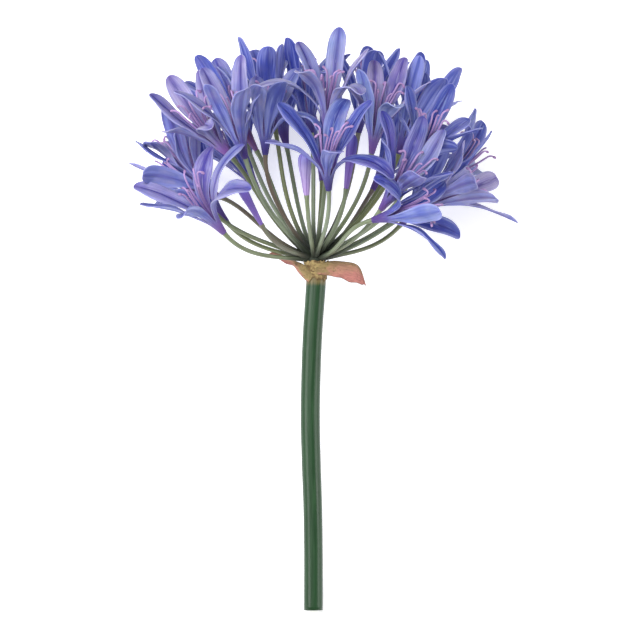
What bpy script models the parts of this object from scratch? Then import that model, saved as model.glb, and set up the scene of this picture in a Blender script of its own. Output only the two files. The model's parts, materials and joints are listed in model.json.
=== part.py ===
"""An agapanthus flower head on its cut stem, lying down.

The flower is set out upright, in a frame with its origin at the base of the
umbel: x to the right, y up the stem and z to the front. An empty holds that
frame and lays it down, so that the cut end of the stem and the lowest petals
rest on the surface. Places in the tables are millimetres in that frame.

A floret is a funnel that parts into six petals, with a bundle of stamens in
it. Each petal aims at a place, or opens by a drawn amount, and then takes the
nearest opening at which it crosses nothing and stays above the surface.
"""

import math
import random
from typing import NamedTuple

import bmesh
import bpy
from mathutils import Matrix, Vector
from mathutils.bvhtree import BVHTree

MM = 0.001
UP = Vector((0, 1, 0))
FRONT = Vector((0, 0, 1))

# How the cut flower lies
LEAN = math.radians(17)
UMBEL_ACROSS = -4.6 * MM
UMBEL_ALONG = 27 * MM

# Stem
SCAPE_LENGTH = 191 * MM
SCAPE_RADIUS = 5.2 * MM
SCAPE_TAPER = 0.96
SCAPE_SIDES = 16
SCAPE_TOP = -2 * MM
# Places along the stem, each with how far it stands to the side
SCAPE_BENDS = (
    (-12, 0.3),
    (-37, -1.4),
    (-60, -2.4),
    (-85, -2.8),
    (-110, -2.3),
    (-135, -1.5),
    (-160, -1.1),
)
SCAPE_TOP_ASIDE = 0.4
SCAPE_END_ASIDE = -1.1

# Stalks of the florets, and the knuckle that they grow from
PEDICEL_RADIUS = 1.2 * MM
PEDICEL_STEPS = 7
KNUCKLE_RADIUS = 6.2 * MM
KNUCKLE_CENTRE = 2.2 * MM
ROOT_DEPTH = 4 * MM
SEAT = 0.3 * MM
CLIMB_SHARE = 0.95
CLIMB_DROP = math.radians(12)
ROOT_PULL = 0.45
FOOT_PULL = 0.3

# Funnel of a floret
TUBE_LENGTH = 9 * MM
TUBE_BASE = 1.5 * MM
TUBE_WAIST = 2.2 * MM
THROAT = 3.2 * MM
FLARE = math.radians(16)

# Petals
PETAL_WIDTH = 10.4 * MM
WIDEST = 0.62
ROOT_GUTTER = 0.27
TIP_GUTTER = 0.15
SHELL = 0.65 * MM
ROWS = (0.0, 0.3, 0.65, 0.9, 1.0)
SPINE_STEPS = 24
OPENINGS = range(16, 148, 6)
SWEEPS = range(-72, 73, 8)
LENGTHS = (1.0, 0.9, 0.8, 0.65)
SHORTER_COST = 35
CLEAR = 1.5 * MM
GUARD = 0.35 * MM
# Depth counts for this much less when a petal's tip is set against its aim
DEPTH_SHARE = 0.5

# Outline of the head from the front, which petals without an aim keep inside
HEAD_CENTRE = 45 * MM
HEAD_HALF_WIDTH = 88 * MM
HEAD_HALF_HEIGHT = 72 * MM
HEAD_SQUARENESS = 3
OUTSIDE_COST = 300

# Stamens
STAMEN_COUNT = 7
KNOB_FOOT = 3 * MM
KNOB_TOP = 6.5 * MM
KNOB_FOOT_RADIUS = 0.95 * MM
KNOB_TOP_RADIUS = 1.4 * MM
STAMEN_LENGTH = 30 * MM
STAMEN_RADIUS = 0.55 * MM
STAMEN_STEPS = (0.25, 0.68, 1.0)
STAMEN_ROOT = 0.62
STAMEN_CURL = 3.5 * MM

# Shares of a bud's length, each with the radius there of a bud of girth 1
BUD_SHAPE = (
    (1.0, 0.0),
    (0.975, 1.5),
    (0.88, 3.3),
    (0.7, 3.6),
    (0.42, 2.7),
    (0.12, 1.9),
    (0, 1.4),
    (0, 0),
)

# Papery bracts
BRACT_SHELL = 0.65 * MM


class Floret(NamedTuple):
    """Where a floret's funnel starts, the way it faces, and where its petals aim."""

    name: str
    base: tuple
    faces: tuple
    spin: float = 0
    aims: dict = {}
    length: float = 47
    edge_on: tuple = ()


class Bud(NamedTuple):
    name: str
    base: tuple
    tip: tuple
    girth: float


FLORETS = (
    Floret("left_low", (-49.7, 16.3, 42), (-0.56, 0.66, 0.45), 40, {
        0: (-38, 38.5, 70), 1: (-38.8, 62.2, 48), 2: (-56.7, 60.8, 40),
        3: (-95.2, 40.4, 46), 4: (-93.8, 31.4, 56), 5: (-72, 24.2, 81)}),
    Floret("centre_front", (7.5, 39.5, 58), (-0.05, 0.85, 0.5), 55, {
        0: (39, 43.5, 75), 2: (16.5, 86.9, 50), 3: (-19.3, 84.7, 62),
        4: (-25.9, 63.8, 78), 5: (12.1, 58.3, 98)}, edge_on=(4,)),
    Floret("right_low", (31.4, 23, 52), (0.88, 0.2, 0.35), 25, {
        0: (68.2, 27, 85), 1: (70.4, 3, 60), 2: (74.3, 17, 50),
        3: (68.8, 42.4, 45), 5: (34.7, 45.1, 80)}, 43),
    Floret("right_front", (36, 29, 50), (0.5, 0.7, 0.5), 15, {
        1: (73.2, 47.9, 83), 2: (71.5, 74.8, 57), 3: (61.6, 74.3, 44),
        4: (36.3, 80.6, 58)}),
    Floret("left_front", (-38, 57, 42), (-0.27, 0.9, 0.3), 20, {
        0: (-38, 91.3, 78), 2: (-39.6, 111.1, 44), 5: (-57.8, 94, 70)}),
    Floret("left_upper", (-46, 58, 24), (-0.6, 0.65, 0.25), 55, {
        2: (-78.9, 100.9, 20), 3: (-87.2, 92.4, 33), 4: (-78, 70, 48), 5: (-54, 73, 65)}),
    Floret("top", (6.5, 71, 28), (0, 0.97, 0.2), 35, {
        0: (24.2, 91, 64), 2: (11.8, 128.4, 26), 3: (-9.9, 120.2, 22),
        4: (-29.2, 93.5, 40), 5: (-8.3, 101.8, 62)}, 49),
    Floret("top_left", (-27.2, 59.4, 22), (0, 0.97, 0.2), 20, {
        1: (-2.8, 73.2, 35), 5: (-37.4, 98.5, 51)}),
    Floret("top_right", (31, 60, 30), (0.15, 0.93, 0.25), 20, {
        0: (44, 81.4, 66), 2: (47.9, 110.6, 30), 5: (24.2, 101.8, 58)}),
    Floret("right_upper", (52, 46, 34), (0.35, 0.85, 0.3), 5, {
        3: (74.8, 95.4, 34), 4: (49, 96, 44)}),
    Floret("right_far", (57, 30, 12), (0.85, 0.4, 0.2), 45, {
        0: (96.6, 34.7, 41), 1: (110, 22.6, 15), 2: (98.5, 45.7, -5),
        3: (82, 52, -18), 4: (79, 62, 34), 5: (86.1, 42.4, 49)}, edge_on=(1,)),
    Floret("left_far", (-52, 36, 20), (-0.9, 0.35, 0.1), 10, {
        0: (-92.1, 48.4, 47), 1: (-76, 70, 32), 2: (-100.9, 64.9, 14),
        3: (-104, 55, 18)}, edge_on=(2, 3)),
    Floret("left_back", (-62, 38, -6), (-0.42, 0.9, 0), 50, {
        3: (-74, 66, -30), 4: (-80, 60, -2), 5: (-82, 82, -2)}),
    Floret("left_top_back", (-38, 66, -22), (-0.35, 0.9, -0.15), 45, {
        2: (-57.2, 116.6, -34), 5: (-63.3, 112.2, -14)}),
    Floret("top_left_back", (-22, 74, -2), (-0.2, 0.95, 0), 0, {
        1: (-18.4, 120, 4), 3: (-32.5, 115, -20), 5: (-39, 118, 2)}),
    Floret("top_back", (-2, 72, -18), (-0.1, 0.97, -0.1), 15, {
        0: (5, 104, 4), 5: (-13.2, 118, -16)}),
    Floret("top_right_back", (24, 72, -16), (0.15, 0.97, -0.1), 5, {
        0: (33.5, 113.9, 5), 1: (46.6, 116.3, -14), 3: (28.9, 116.6, -34)}),
    Floret("right_top", (46, 60, 8), (0.3, 0.92, 0.1), 30, {
        1: (74, 93, 12), 3: (60.2, 115.5, 4), 5: (58.9, 110.6, 22)}, 49),
    Floret("right_top_back", (47, 63, -26), (0.45, 0.87, -0.15), 45, {
        0: (78.9, 107, -22), 1: (76, 88, -38), 3: (64.9, 111.7, -38)}),
    Floret("right_back", (64, 40, -14), (0.75, 0.62, 0.05), 15, {
        0: (99.6, 70.4, 4), 1: (82, 50, -24), 2: (82, 58, -40), 3: (92, 76, -31),
        4: (88, 82, -12)}, edge_on=(0,)),
    Floret("under_left", (-49, 23, -32), (-0.62, 0.7, -0.25)),
    Floret("under_mid_left", (-32, 41, -51), (-0.5, 0.8, -0.25), 20),
    Floret("under_mid", (4, 46, -56), (0.05, 0.93, -0.3), 10),
    Floret("under_mid_right", (32, 41, -51), (0.5, 0.8, -0.25), 40),
    Floret("under_right", (48, 22, -34), (0.62, 0.7, -0.25), 30),
    Floret("under_top", (-16, 66, -45), (-0.2, 0.95, -0.25), 50),
)

BUDS = (
    Bud("front", (-4.5, 36.3, 50), (-6, 60, 56), 1.0),
    Bud("middle", (17, 40, 40), (21, 70, 46), 0.85),
    Bud("left", (-29, 20.4, 35), (-43, 45.6, 41), 0.75),
    Bud("back", (-32, 61.6, -10), (-40, 75.5, -10), 0.8),
)

# Each band starts against the stem, and its rows run from the upper to the lower edge
RIGHT_BRACT = (
    ((-2.0, -3.3, 5.5), (-1.4, -4.5, 5.7), (-0.5, -5.6, 5.85)),
    ((3.6, 0, 5.8), (3.2, -3.4, 6.4), (2.8, -6.4, 6.0)),
    ((9.4, 1.1, 3.6), (9.0, -3, 5.6), (8.2, -7.0, 5.4)),
    ((15.4, 0.8, 2), (15.6, -3.8, 4.6), (14.2, -8.5, 4.5)),
    ((21.8, -0.3, 1), (22.2, -5.2, 3), (21, -10.8, 3.5)),
    ((25.2, -3.6, 1), (25.8, -8, 2), (25.6, -11.6, 3)),
    ((28, -12.6, 2.5),),
)
LEFT_BRACT = (
    ((-3.9, -3.6, 4.2), (-1.6, -6.9, 5.8), (-3.6, -10.6, 4.8)),
    ((-6.6, -0.6, 3.2), (-6.0, -4.6, 4.6), (-5.8, -8.8, 3.4)),
    ((-10, 0.8, 0.5), (-9.6, -2.0, 2.2), (-9.0, -5.2, 1.2)),
    ((-14.2, 3.0, -3.5), (-13.2, 0.6, -1.5), (-11.8, -1.9, -1.5)),
    ((-19.5, 4.8, -6.5), (-19.0, 3.0, -4.8), (-18, 1.0, -4.5)),
    ((-23.5, 6.0, -9.0), (-24.3, 4.8, -7.6), (-23.6, 3.2, -7.2)),
    ((-25.8, 4.4, -8.6),),
)


def lerp(start, end, share):
    return start + (end - start) * share


def smooth(share):
    share = min(max(share, 0), 1)
    return share * share * (3 - 2 * share)


def lying_frame():
    """Matrix from the upright frame to the surface that the flower lies on."""
    height = SCAPE_LENGTH * math.sin(LEAN) + SCAPE_RADIUS * SCAPE_TAPER * math.cos(LEAN)
    place = Matrix.Translation((UMBEL_ACROSS, UMBEL_ALONG, height))
    return place @ Matrix.Rotation(LEAN, 4, "X")


def floret_frame(row):
    """Matrix of a floret: x to the front, y to its right, z along its funnel."""
    axis = Vector(row.faces).normalized()
    front = (FRONT - axis * axis.dot(FRONT)).normalized()
    right = axis.cross(front)
    frame = Matrix((front, right, axis)).transposed().to_4x4()
    frame.translation = Vector(row.base) * MM
    return frame


def half_width(along):
    """Half the width of a petal, at a share of its length."""
    root = THROAT * math.sin(math.pi / 6)
    if along <= WIDEST:
        return lerp(root, PETAL_WIDTH / 2, smooth(along / WIDEST))
    end = (along - WIDEST) / (1 - WIDEST)
    return PETAL_WIDTH / 2 * math.sqrt(max(0, 1 - end * end))


def ways(lean, aside):
    """Directions across a petal and off its inner face, where it leans and turns aside."""
    across = Vector((-math.sin(aside) * math.sin(lean), math.cos(aside), -math.sin(aside) * math.cos(lean)))
    return across, Vector((-math.cos(lean), 0, math.sin(lean)))


class Petal(NamedTuple):
    """One petal: its place round the funnel, and how it opens, sweeps aside and rolls."""

    turn: float
    opening: float
    sweep: float
    length: float
    roll: float = 0

    def spine(self):
        """Points down the middle as (out, side, up), each with its lean from the axis."""
        out, side, up = THROAT, 0.0, TUBE_LENGTH
        step = self.length / SPINE_STEPS
        line = [(out, side, up, FLARE)]
        for index in range(SPINE_STEPS):
            share = (index + 0.5) / SPINE_STEPS
            lean = lerp(FLARE, self.opening, share)
            aside = self.sweep * share
            out += step * math.sin(lean) * math.cos(aside)
            side += step * math.sin(aside)
            up += step * math.cos(lean) * math.cos(aside)
            line.append((out, side, up, lerp(FLARE, self.opening, (index + 1) / SPINE_STEPS)))
        return line

    def point(self, line, along, across):
        """Place on the sheet, with across from -1 at one edge to 1 at the other."""
        place = along * SPINE_STEPS
        index = min(int(place), SPINE_STEPS - 1)
        out, side, up, lean = (
            lerp(a, b, place - index) for a, b in zip(line[index], line[index + 1])
        )
        half = half_width(along)
        lift = half * lerp(ROOT_GUTTER, TIP_GUTTER, min(along / WIDEST, 1)) * across * across
        beside, inward = ways(lean, self.sweep * along)
        roll = self.roll * smooth(along * 1.5)
        place = Vector((out, side, up))
        place += (beside * math.cos(roll) + inward * math.sin(roll)) * half * across
        place += (inward * math.cos(roll) - beside * math.sin(roll)) * lift
        return Matrix.Rotation(self.turn, 3, "Z") @ place

    def edge_on(self, view):
        """The petal, rolled until its outer half stands edge-on to a view."""
        view = Matrix.Rotation(-self.turn, 3, "Z") @ view
        beside, inward = ways(lerp(FLARE, self.opening, 0.7), self.sweep * 0.7)
        return self._replace(roll=math.atan(inward.dot(view) / beside.dot(view)))

    def rows(self, stations):
        """Rows of three points, root first, and a last row with the tip alone."""
        line = self.spine()
        sheet = [[self.point(line, s, u) for u in (-1, 0, 1)] for s in stations[:-1]]
        return sheet + [[self.point(line, 1.0, 0)]]


def sheet_faces(rows):
    """Triangles between rows of points, numbered row by row."""
    faces = []
    start = 0
    for near, far in zip(rows, rows[1:]):
        next_start = start + len(near)
        for column in range(len(near) - 1):
            a, b = start + column, start + column + 1
            if len(far) == 1:
                faces.append((a, b, next_start))
            else:
                c, d = next_start + column, next_start + column + 1
                faces += [(a, b, d), (a, d, c)]
        start = next_start
    return faces


def guarded_sheet(rows, thickness):
    """The sheet moved half a thickness to each side, as points and triangles."""
    points = [point for row in rows for point in row]
    faces = sheet_faces(rows)
    normals = [Vector() for _ in points]
    for face in faces:
        a, b, c = (points[index] for index in face)
        normal = (b - a).cross(c - a)
        for index in face:
            normals[index] += normal
    offsets = [normal.normalized() * thickness / 2 for normal in normals]
    both = [p + o for p, o in zip(points, offsets)] + [p - o for p, o in zip(points, offsets)]
    count = len(points)
    return both, faces + [tuple(index + count for index in face) for face in faces]


def sleeve(path, radii, sides):
    """A round skin along a path, as points and triangles."""
    points = []
    for index, centre in enumerate(path):
        ahead = path[min(index + 1, len(path) - 1)] - path[max(index - 1, 0)]
        turn = ahead.to_track_quat("Z", "Y")
        for side in range(sides):
            angle = math.tau * side / sides
            ring = Vector((math.cos(angle), math.sin(angle), 0)) * radii[index]
            points.append(centre + turn @ ring)
    faces = []
    for ring in range(len(path) - 1):
        for side in range(sides):
            a = ring * sides + side
            b = ring * sides + (side + 1) % sides
            faces += [(a, b, b + sides), (a, b + sides, a + sides)]
    return points, faces


class Skin:
    """A skin in the upright frame, ready to be tested against another."""

    def __init__(self, points, faces, frame=None):
        self.points = [frame @ point for point in points] if frame else points
        self.tree = BVHTree.FromPolygons(self.points, faces)
        self.centre = sum(self.points, Vector()) / len(self.points)
        self.reach = max((point - self.centre).length for point in self.points)

    def crosses(self, other):
        near = (self.centre - other.centre).length <= self.reach + other.reach
        return near and bool(self.tree.overlap(other.tree))


def pedicel_path(base, axis):
    """A stalk's route from the knuckle to the foot of a floret or a bud."""
    away = Vector((base.x, 0, base.z))
    climb = math.atan2(base.y, away.length) * CLIMB_SHARE - CLIMB_DROP
    start = away.normalized() * math.cos(climb) + UP * math.sin(climb)
    root = UP * KNUCKLE_CENTRE + start * ROOT_DEPTH
    end = base - axis * SEAT
    span = (end - root).length
    near, far = root + start * span * ROOT_PULL, end - axis * span * FOOT_PULL
    path = []
    for index in range(PEDICEL_STEPS + 1):
        t = index / PEDICEL_STEPS
        s = 1 - t
        path.append(root * s**3 + near * 3 * s * s * t + far * 3 * s * t * t + end * t**3)
    return path


def stalk_ends():
    """Foot and direction of every floret and bud, in the upright frame."""
    for row in FLORETS:
        axis = Vector(row.faces).normalized()
        yield Vector(row.base) * MM - axis * SHELL / 2, axis
    for row in BUDS:
        base = Vector(row.base) * MM
        yield base, (Vector(row.tip) * MM - base).normalized()


def stamen_paths(name):
    """Each stamen's points and radii in its floret's frame, drawn from the floret's name."""
    draw = random.Random(name)
    bow = draw.uniform(0, math.tau)
    paths = []
    for index in range(STAMEN_COUNT):
        turn = math.tau * (index + 0.5) / STAMEN_COUNT
        outward = Vector((math.cos(turn), math.sin(turn), 0))
        spread = math.tan(math.radians(draw.uniform(9, 15)))
        length = STAMEN_LENGTH * draw.uniform(0.86, 1.08)
        curl = Vector((math.cos(bow), math.sin(bow), 0)) * STAMEN_CURL
        points = []
        for share in STAMEN_STEPS:
            rise = length * share
            out = KNOB_TOP_RADIUS * STAMEN_ROOT + spread * rise * lerp(0.5, 1, share)
            points.append(outward * out + curl * share**3 + Vector((0, 0, KNOB_TOP + rise)))
        paths.append((outward, points))
    return paths


def bud_profile(length, girth):
    """Distance from the foot and radius, down the outer side from the tip."""
    return [(length * share, radius * girth * MM) for share, radius in BUD_SHAPE]


def bud_skin(row):
    base, tip = Vector(row.base) * MM, Vector(row.tip) * MM
    profile = bud_profile((tip - base).length, row.girth)
    path = [base.lerp(tip, share / profile[0][0]) for share, _ in profile]
    radii = [radius + GUARD for _, radius in profile]
    return Skin(*sleeve(path, radii, 8))


class Held(NamedTuple):
    """A skin that petals have to clear. A floret's own petals skip what is at its throat."""

    owner: str
    at_throat: bool
    skin: Skin


def fixed_skins():
    """What stands before the petals do: stalks, buds, bracts, funnels and stamens."""
    held = []
    for base, axis in stalk_ends():
        path = pedicel_path(base, axis)
        held.append(Held("", False, Skin(*sleeve(path, [PEDICEL_RADIUS + GUARD] * len(path), 6))))
    held += [Held("", False, bud_skin(row)) for row in BUDS]
    for sheet in (RIGHT_BRACT, LEFT_BRACT):
        rows = [[Vector(point) * MM for point in row] for row in sheet]
        held.append(Held("", False, Skin(*guarded_sheet(rows, CLEAR))))
    for row in FLORETS:
        frame = floret_frame(row)
        path = [Vector((0, 0, height)) for height in (0, TUBE_LENGTH / 2, TUBE_LENGTH)]
        radii = [radius + SHELL for radius in (TUBE_BASE, TUBE_WAIST, THROAT)]
        held.append(Held(row.name, True, Skin(*sleeve(path, radii, 8), frame)))
        for _, points in stamen_paths(row.name):
            radii = [STAMEN_RADIUS + GUARD] * len(points)
            held.append(Held(row.name, False, Skin(*sleeve(points, radii, 4), frame)))
    return held


def petal_rows(petal):
    return petal.rows(ROWS)


def outside(place):
    """How far a place is past the head's outline, as a share of the head."""
    wide = abs(place.x / HEAD_HALF_WIDTH) ** HEAD_SQUARENESS
    high = abs((place.y - HEAD_CENTRE) / HEAD_HALF_HEIGHT) ** HEAD_SQUARENESS
    return max((wide + high) ** (1 / HEAD_SQUARENESS) - 1, 0)


def choices(wanted, aim, view, frame):
    """Openings, sweeps and lengths for a petal, the nearest to what is wanted first."""
    ranked = []
    for opening in OPENINGS:
        for sweep in SWEEPS:
            for share in LENGTHS:
                petal = wanted._replace(
                    opening=math.radians(opening),
                    sweep=math.radians(sweep),
                    length=wanted.length * share,
                )
                if view:
                    petal = petal.edge_on(view)
                tip = frame @ petal.point(petal.spine(), 1.0, 0)
                cost = SHORTER_COST * (1 - share)
                if aim:
                    miss = tip - aim
                    cost += Vector((miss.x, miss.y, miss.z * DEPTH_SHARE)).length / MM
                else:
                    cost += abs(opening - math.degrees(wanted.opening))
                    cost += 0.7 * abs(sweep - math.degrees(wanted.sweep))
                    cost += OUTSIDE_COST * outside(tip)
                ranked.append((cost, opening, sweep, petal))
    ranked.sort(key=lambda entry: entry[:3])
    return [entry[3] for entry in ranked]


def lowest(petal, to_surface):
    """Height of the petal's lowest point over the surface."""
    points = [to_surface @ point for row in petal_rows(petal) for point in row]
    return min(point.z for point in points) - SHELL / 2


def resting(petal, to_surface):
    """The petal, closed just as far as it takes to lie on the surface."""
    shut, wide = FLARE, petal.opening
    for _ in range(20):
        middle = (shut + wide) / 2
        if lowest(petal._replace(opening=middle), to_surface) < 0:
            wide = middle
        else:
            shut = middle
    return petal._replace(opening=shut)


def open_petals():
    """Every floret's six petals, bent clear of each other and of all else."""
    draw = random.Random("agapanthus")
    held = fixed_skins()
    lying = lying_frame()
    petals = {row.name: [None] * 6 for row in FLORETS}
    wanted = []
    for row in FLORETS:
        for slot in range(6):
            aim = row.aims.get(slot)
            petal = Petal(
                math.radians(row.spin + 60 * slot),
                math.radians(draw.uniform(40, 62)),
                math.radians(draw.uniform(-8, 8)),
                row.length * MM * draw.uniform(0.93, 1.0) if aim is None else row.length * MM,
            )
            wanted.append((row, slot, petal, Vector(aim) * MM if aim else None))
    wanted.sort(key=lambda entry: entry[3] is None)
    for row, slot, petal, aim in wanted:
        frame = floret_frame(row)
        to_surface = lying @ frame
        view = frame.to_3x3().transposed() @ FRONT if slot in row.edge_on else None
        options = choices(petal, aim, view, frame)
        first = options[0]
        if lowest(first, to_surface) < 0:
            first = resting(first, to_surface)
        for option in [first] + options:
            if lowest(option, to_surface) < 0:
                continue
            rows = petal_rows(option)
            whole = Skin(*guarded_sheet(rows, CLEAR), frame)
            outer = Skin(*guarded_sheet(rows[1:], CLEAR), frame)
            others = (other for other in held if other.owner != row.name)
            own = (other for other in held if other.owner == row.name and not other.at_throat)
            if any(whole.crosses(other.skin) for other in others):
                continue
            if not any(outer.crosses(other.skin) for other in own):
                break
        else:
            raise ValueError(f"no room for petal {slot} of {row.name}")
        petals[row.name][slot] = option
        held.append(Held(row.name, False, outer))
        held.append(Held(row.name, True, Skin(*guarded_sheet(rows[:2], CLEAR), frame)))
    return petals


def material(name, colour, roughness):
    made = bpy.data.materials.new(name)
    made.use_nodes = True
    surface = made.node_tree.nodes["Principled BSDF"]
    surface.inputs["Base Color"].default_value = (*colour, 1)
    surface.inputs["Roughness"].default_value = roughness
    surface.inputs["Metallic"].default_value = 0
    return made


def put(name, data, finish, parent, place=None):
    """Adds an object for one piece, in the flower's collection and under its parent."""
    piece = bpy.data.objects.new(name, data)
    bpy.data.collections["agapanthus"].objects.link(piece)
    data.materials.append(finish)
    piece.parent = parent
    if place:
        piece.matrix_basis = place
    return piece


def mesh_from(name, bm):
    bmesh.ops.recalc_face_normals(bm, faces=bm.faces)
    mesh = bpy.data.meshes.new(name)
    bm.to_mesh(mesh)
    bm.free()
    mesh.shade_smooth()
    return mesh


def thicken(piece, thickness):
    shell = piece.modifiers.new("Shell", "SOLIDIFY")
    shell.thickness = thickness
    shell.offset = 0


def tube(name, points, radii, sides):
    """A tube as a curve, with the radius set at each point."""
    curve = bpy.data.curves.new(name, "CURVE")
    curve.dimensions = "3D"
    curve.bevel_depth = max(radii)
    curve.bevel_resolution = (sides - 4) // 2
    curve.use_fill_caps = True
    spline = curve.splines.new("POLY")
    spline.points.add(len(points) - 1)
    for knot, point, radius in zip(spline.points, points, radii):
        knot.co = (*point, 1)
        knot.radius = radius / max(radii)
    return curve


def outline(name, profile):
    """A profile of (height, radius), from the tip down the outer side, to turn about z."""
    bm = bmesh.new()
    knots = [bm.verts.new((radius, 0, height)) for height, radius in profile]
    for near, far in zip(knots, knots[1:]):
        bm.edges.new((near, far))
    mesh = bpy.data.meshes.new(name)
    bm.to_mesh(mesh)
    bm.free()
    return mesh


def turn_round(piece, sides):
    screw = piece.modifiers.new("Turn", "SCREW")
    screw.steps = sides
    screw.render_steps = sides
    screw.use_merge_vertices = True
    screw.merge_threshold = 0.00001


def facing(base, axis):
    """Matrix at base with z along the axis."""
    return Matrix.Translation(base) @ axis.to_track_quat("Z", "Y").to_matrix().to_4x4()


def make_perianth(row, petals, finish, parent):
    """The funnel and its six petals as one sheet, given its thickness by Solidify."""
    bm = bmesh.new()
    turns = [petal.turn for petal in petals]
    foot, waist = (
        [bm.verts.new((radius * math.cos(turn), radius * math.sin(turn), height)) for turn in turns]
        for radius, height in ((TUBE_BASE, 0), (TUBE_WAIST, TUBE_LENGTH / 2))
    )
    bm.faces.new(foot)
    sheets = [petal_rows(petal) for petal in petals]
    joints = [bm.verts.new(rows[0][2]) for rows in sheets]
    middles = [bm.verts.new(rows[0][1]) for rows in sheets]
    for slot, rows in enumerate(sheets):
        after = (slot + 1) % 6
        bm.faces.new((foot[slot], foot[after], waist[after], waist[slot]))
        bm.faces.new((waist[slot], waist[after], joints[slot]))
        bm.faces.new((waist[slot], joints[slot], middles[slot]))
        bm.faces.new((waist[after], middles[after], joints[slot]))
        knots = [joints[slot - 1], middles[slot], joints[slot]]
        knots += [bm.verts.new(point) for points in rows[1:] for point in points]
        for face in sheet_faces(rows):
            bm.faces.new([knots[index] for index in face])
    bmesh.ops.triangulate(bm, faces=bm.faces)
    name = "perianth_" + row.name
    piece = put(name, mesh_from(name, bm), finish, parent, floret_frame(row))
    thicken(piece, SHELL)


def make_stamens(row, finish, parent):
    """Filaments and style drawn out of the sectors of a knob in the funnel."""
    bm = bmesh.new()
    depth = KNOB_TOP - KNOB_FOOT
    bmesh.ops.create_cone(
        bm,
        segments=STAMEN_COUNT,
        radius1=KNOB_FOOT_RADIUS,
        radius2=KNOB_TOP_RADIUS,
        depth=depth,
        cap_ends=True,
        cap_tris=True,
        matrix=Matrix.Translation((0, 0, KNOB_FOOT + depth / 2)),
    )
    sectors = [face for face in bm.faces if face.normal.z > 0.99]
    for outward, points in stamen_paths(row.name):
        sector = max(sectors, key=lambda face: face.calc_center_median().dot(outward))
        sectors.remove(sector)
        spokes = [Vector((*corner.co.xy, 0)) for corner in sector.verts]
        hub = sum(spokes, Vector()) / 3
        spokes = [(spoke - hub).normalized() * STAMEN_RADIUS for spoke in spokes]
        for point in points:
            sector = bmesh.ops.extrude_discrete_faces(bm, faces=[sector])["faces"][0]
            for corner, spoke in zip(sector.verts, spokes):
                corner.co = point + spoke
    name = "stamens_" + row.name
    put(name, mesh_from(name, bm), finish, parent, floret_frame(row))


def applied(piece):
    """A mesh object with what its curve or modifiers make of it, in its parent's frame."""
    bpy.context.view_layer.update()
    graph = bpy.context.evaluated_depsgraph_get()
    mesh = bpy.data.meshes.new_from_object(piece.evaluated_get(graph))
    bm = bmesh.new()
    bm.from_mesh(mesh)
    bmesh.ops.remove_doubles(bm, verts=bm.verts, dist=0.00001)
    bm.to_mesh(mesh)
    bm.free()
    solid = bpy.data.objects.new(piece.name + "_solid", mesh)
    solid.matrix_world = piece.matrix_world
    bpy.data.objects.remove(piece)
    return solid


def make_pedicels(finish, parent):
    """The knuckle with every stalk rooted in it, joined by one Boolean union."""
    foot = SCAPE_TOP + SEAT - KNUCKLE_CENTRE
    knuckle = outline("knuckle", (
        (KNUCKLE_RADIUS, 0),
        (KNUCKLE_RADIUS * 0.87, KNUCKLE_RADIUS * 0.5),
        (KNUCKLE_RADIUS * 0.5, KNUCKLE_RADIUS * 0.87),
        (0, KNUCKLE_RADIUS),
        (foot, SCAPE_RADIUS * 0.94),
        (foot, 0),
    ))
    core = put("core", knuckle, finish, parent, facing(UP * KNUCKLE_CENTRE, UP))
    turn_round(core, 16)
    stalks = bpy.data.collections.new("stalks")
    for index, (base, axis) in enumerate(stalk_ends()):
        path = pedicel_path(base, axis)
        curve = tube(f"stalk_{index}", path, [PEDICEL_RADIUS] * len(path), 6)
        stalks.objects.link(applied(put(f"stalk_{index}", curve, finish, parent)))
    bpy.context.scene.collection.children.link(stalks)
    joined = applied(core)
    bpy.data.collections["agapanthus"].objects.link(joined)
    union = joined.modifiers.new("Roots", "BOOLEAN")
    union.operation = "UNION"
    union.operand_type = "COLLECTION"
    union.collection = stalks
    piece = applied(joined)
    bpy.data.collections["agapanthus"].objects.link(piece)
    piece.name = "pedicels"
    for stalk in list(stalks.objects):
        bpy.data.objects.remove(stalk)
    bpy.data.collections.remove(stalks)


def make_scape(finish, parent):
    """The main stem, with its slight bends, cut square at its end."""
    bends = [(SCAPE_TOP / MM, SCAPE_TOP_ASIDE), *SCAPE_BENDS]
    bends.append((-SCAPE_LENGTH / MM, SCAPE_END_ASIDE))
    points = [Vector((aside, along, 0)) * MM for along, aside in bends]
    radii = [lerp(SCAPE_RADIUS, SCAPE_RADIUS * SCAPE_TAPER, -p.y / SCAPE_LENGTH) for p in points]
    put("scape", tube("scape", points, radii, SCAPE_SIDES), finish, parent)


def make_bud(row, finish, parent):
    base, tip = Vector(row.base) * MM, Vector(row.tip) * MM
    name = "bud_" + row.name
    mesh = outline(name, bud_profile((tip - base).length, row.girth))
    turn_round(put(name, mesh, finish, parent, facing(base, (tip - base).normalized())), 8)


def make_bract(name, sheet, finish, parent):
    """A papery bract, from its rows of places."""
    bm = bmesh.new()
    rows = [[Vector(point) * MM for point in row] for row in sheet]
    knots = [bm.verts.new(point) for row in rows for point in row]
    for face in sheet_faces(rows):
        bm.faces.new([knots[index] for index in face])
    thicken(put(name, mesh_from(name, bm), finish, parent), BRACT_SHELL)


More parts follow.
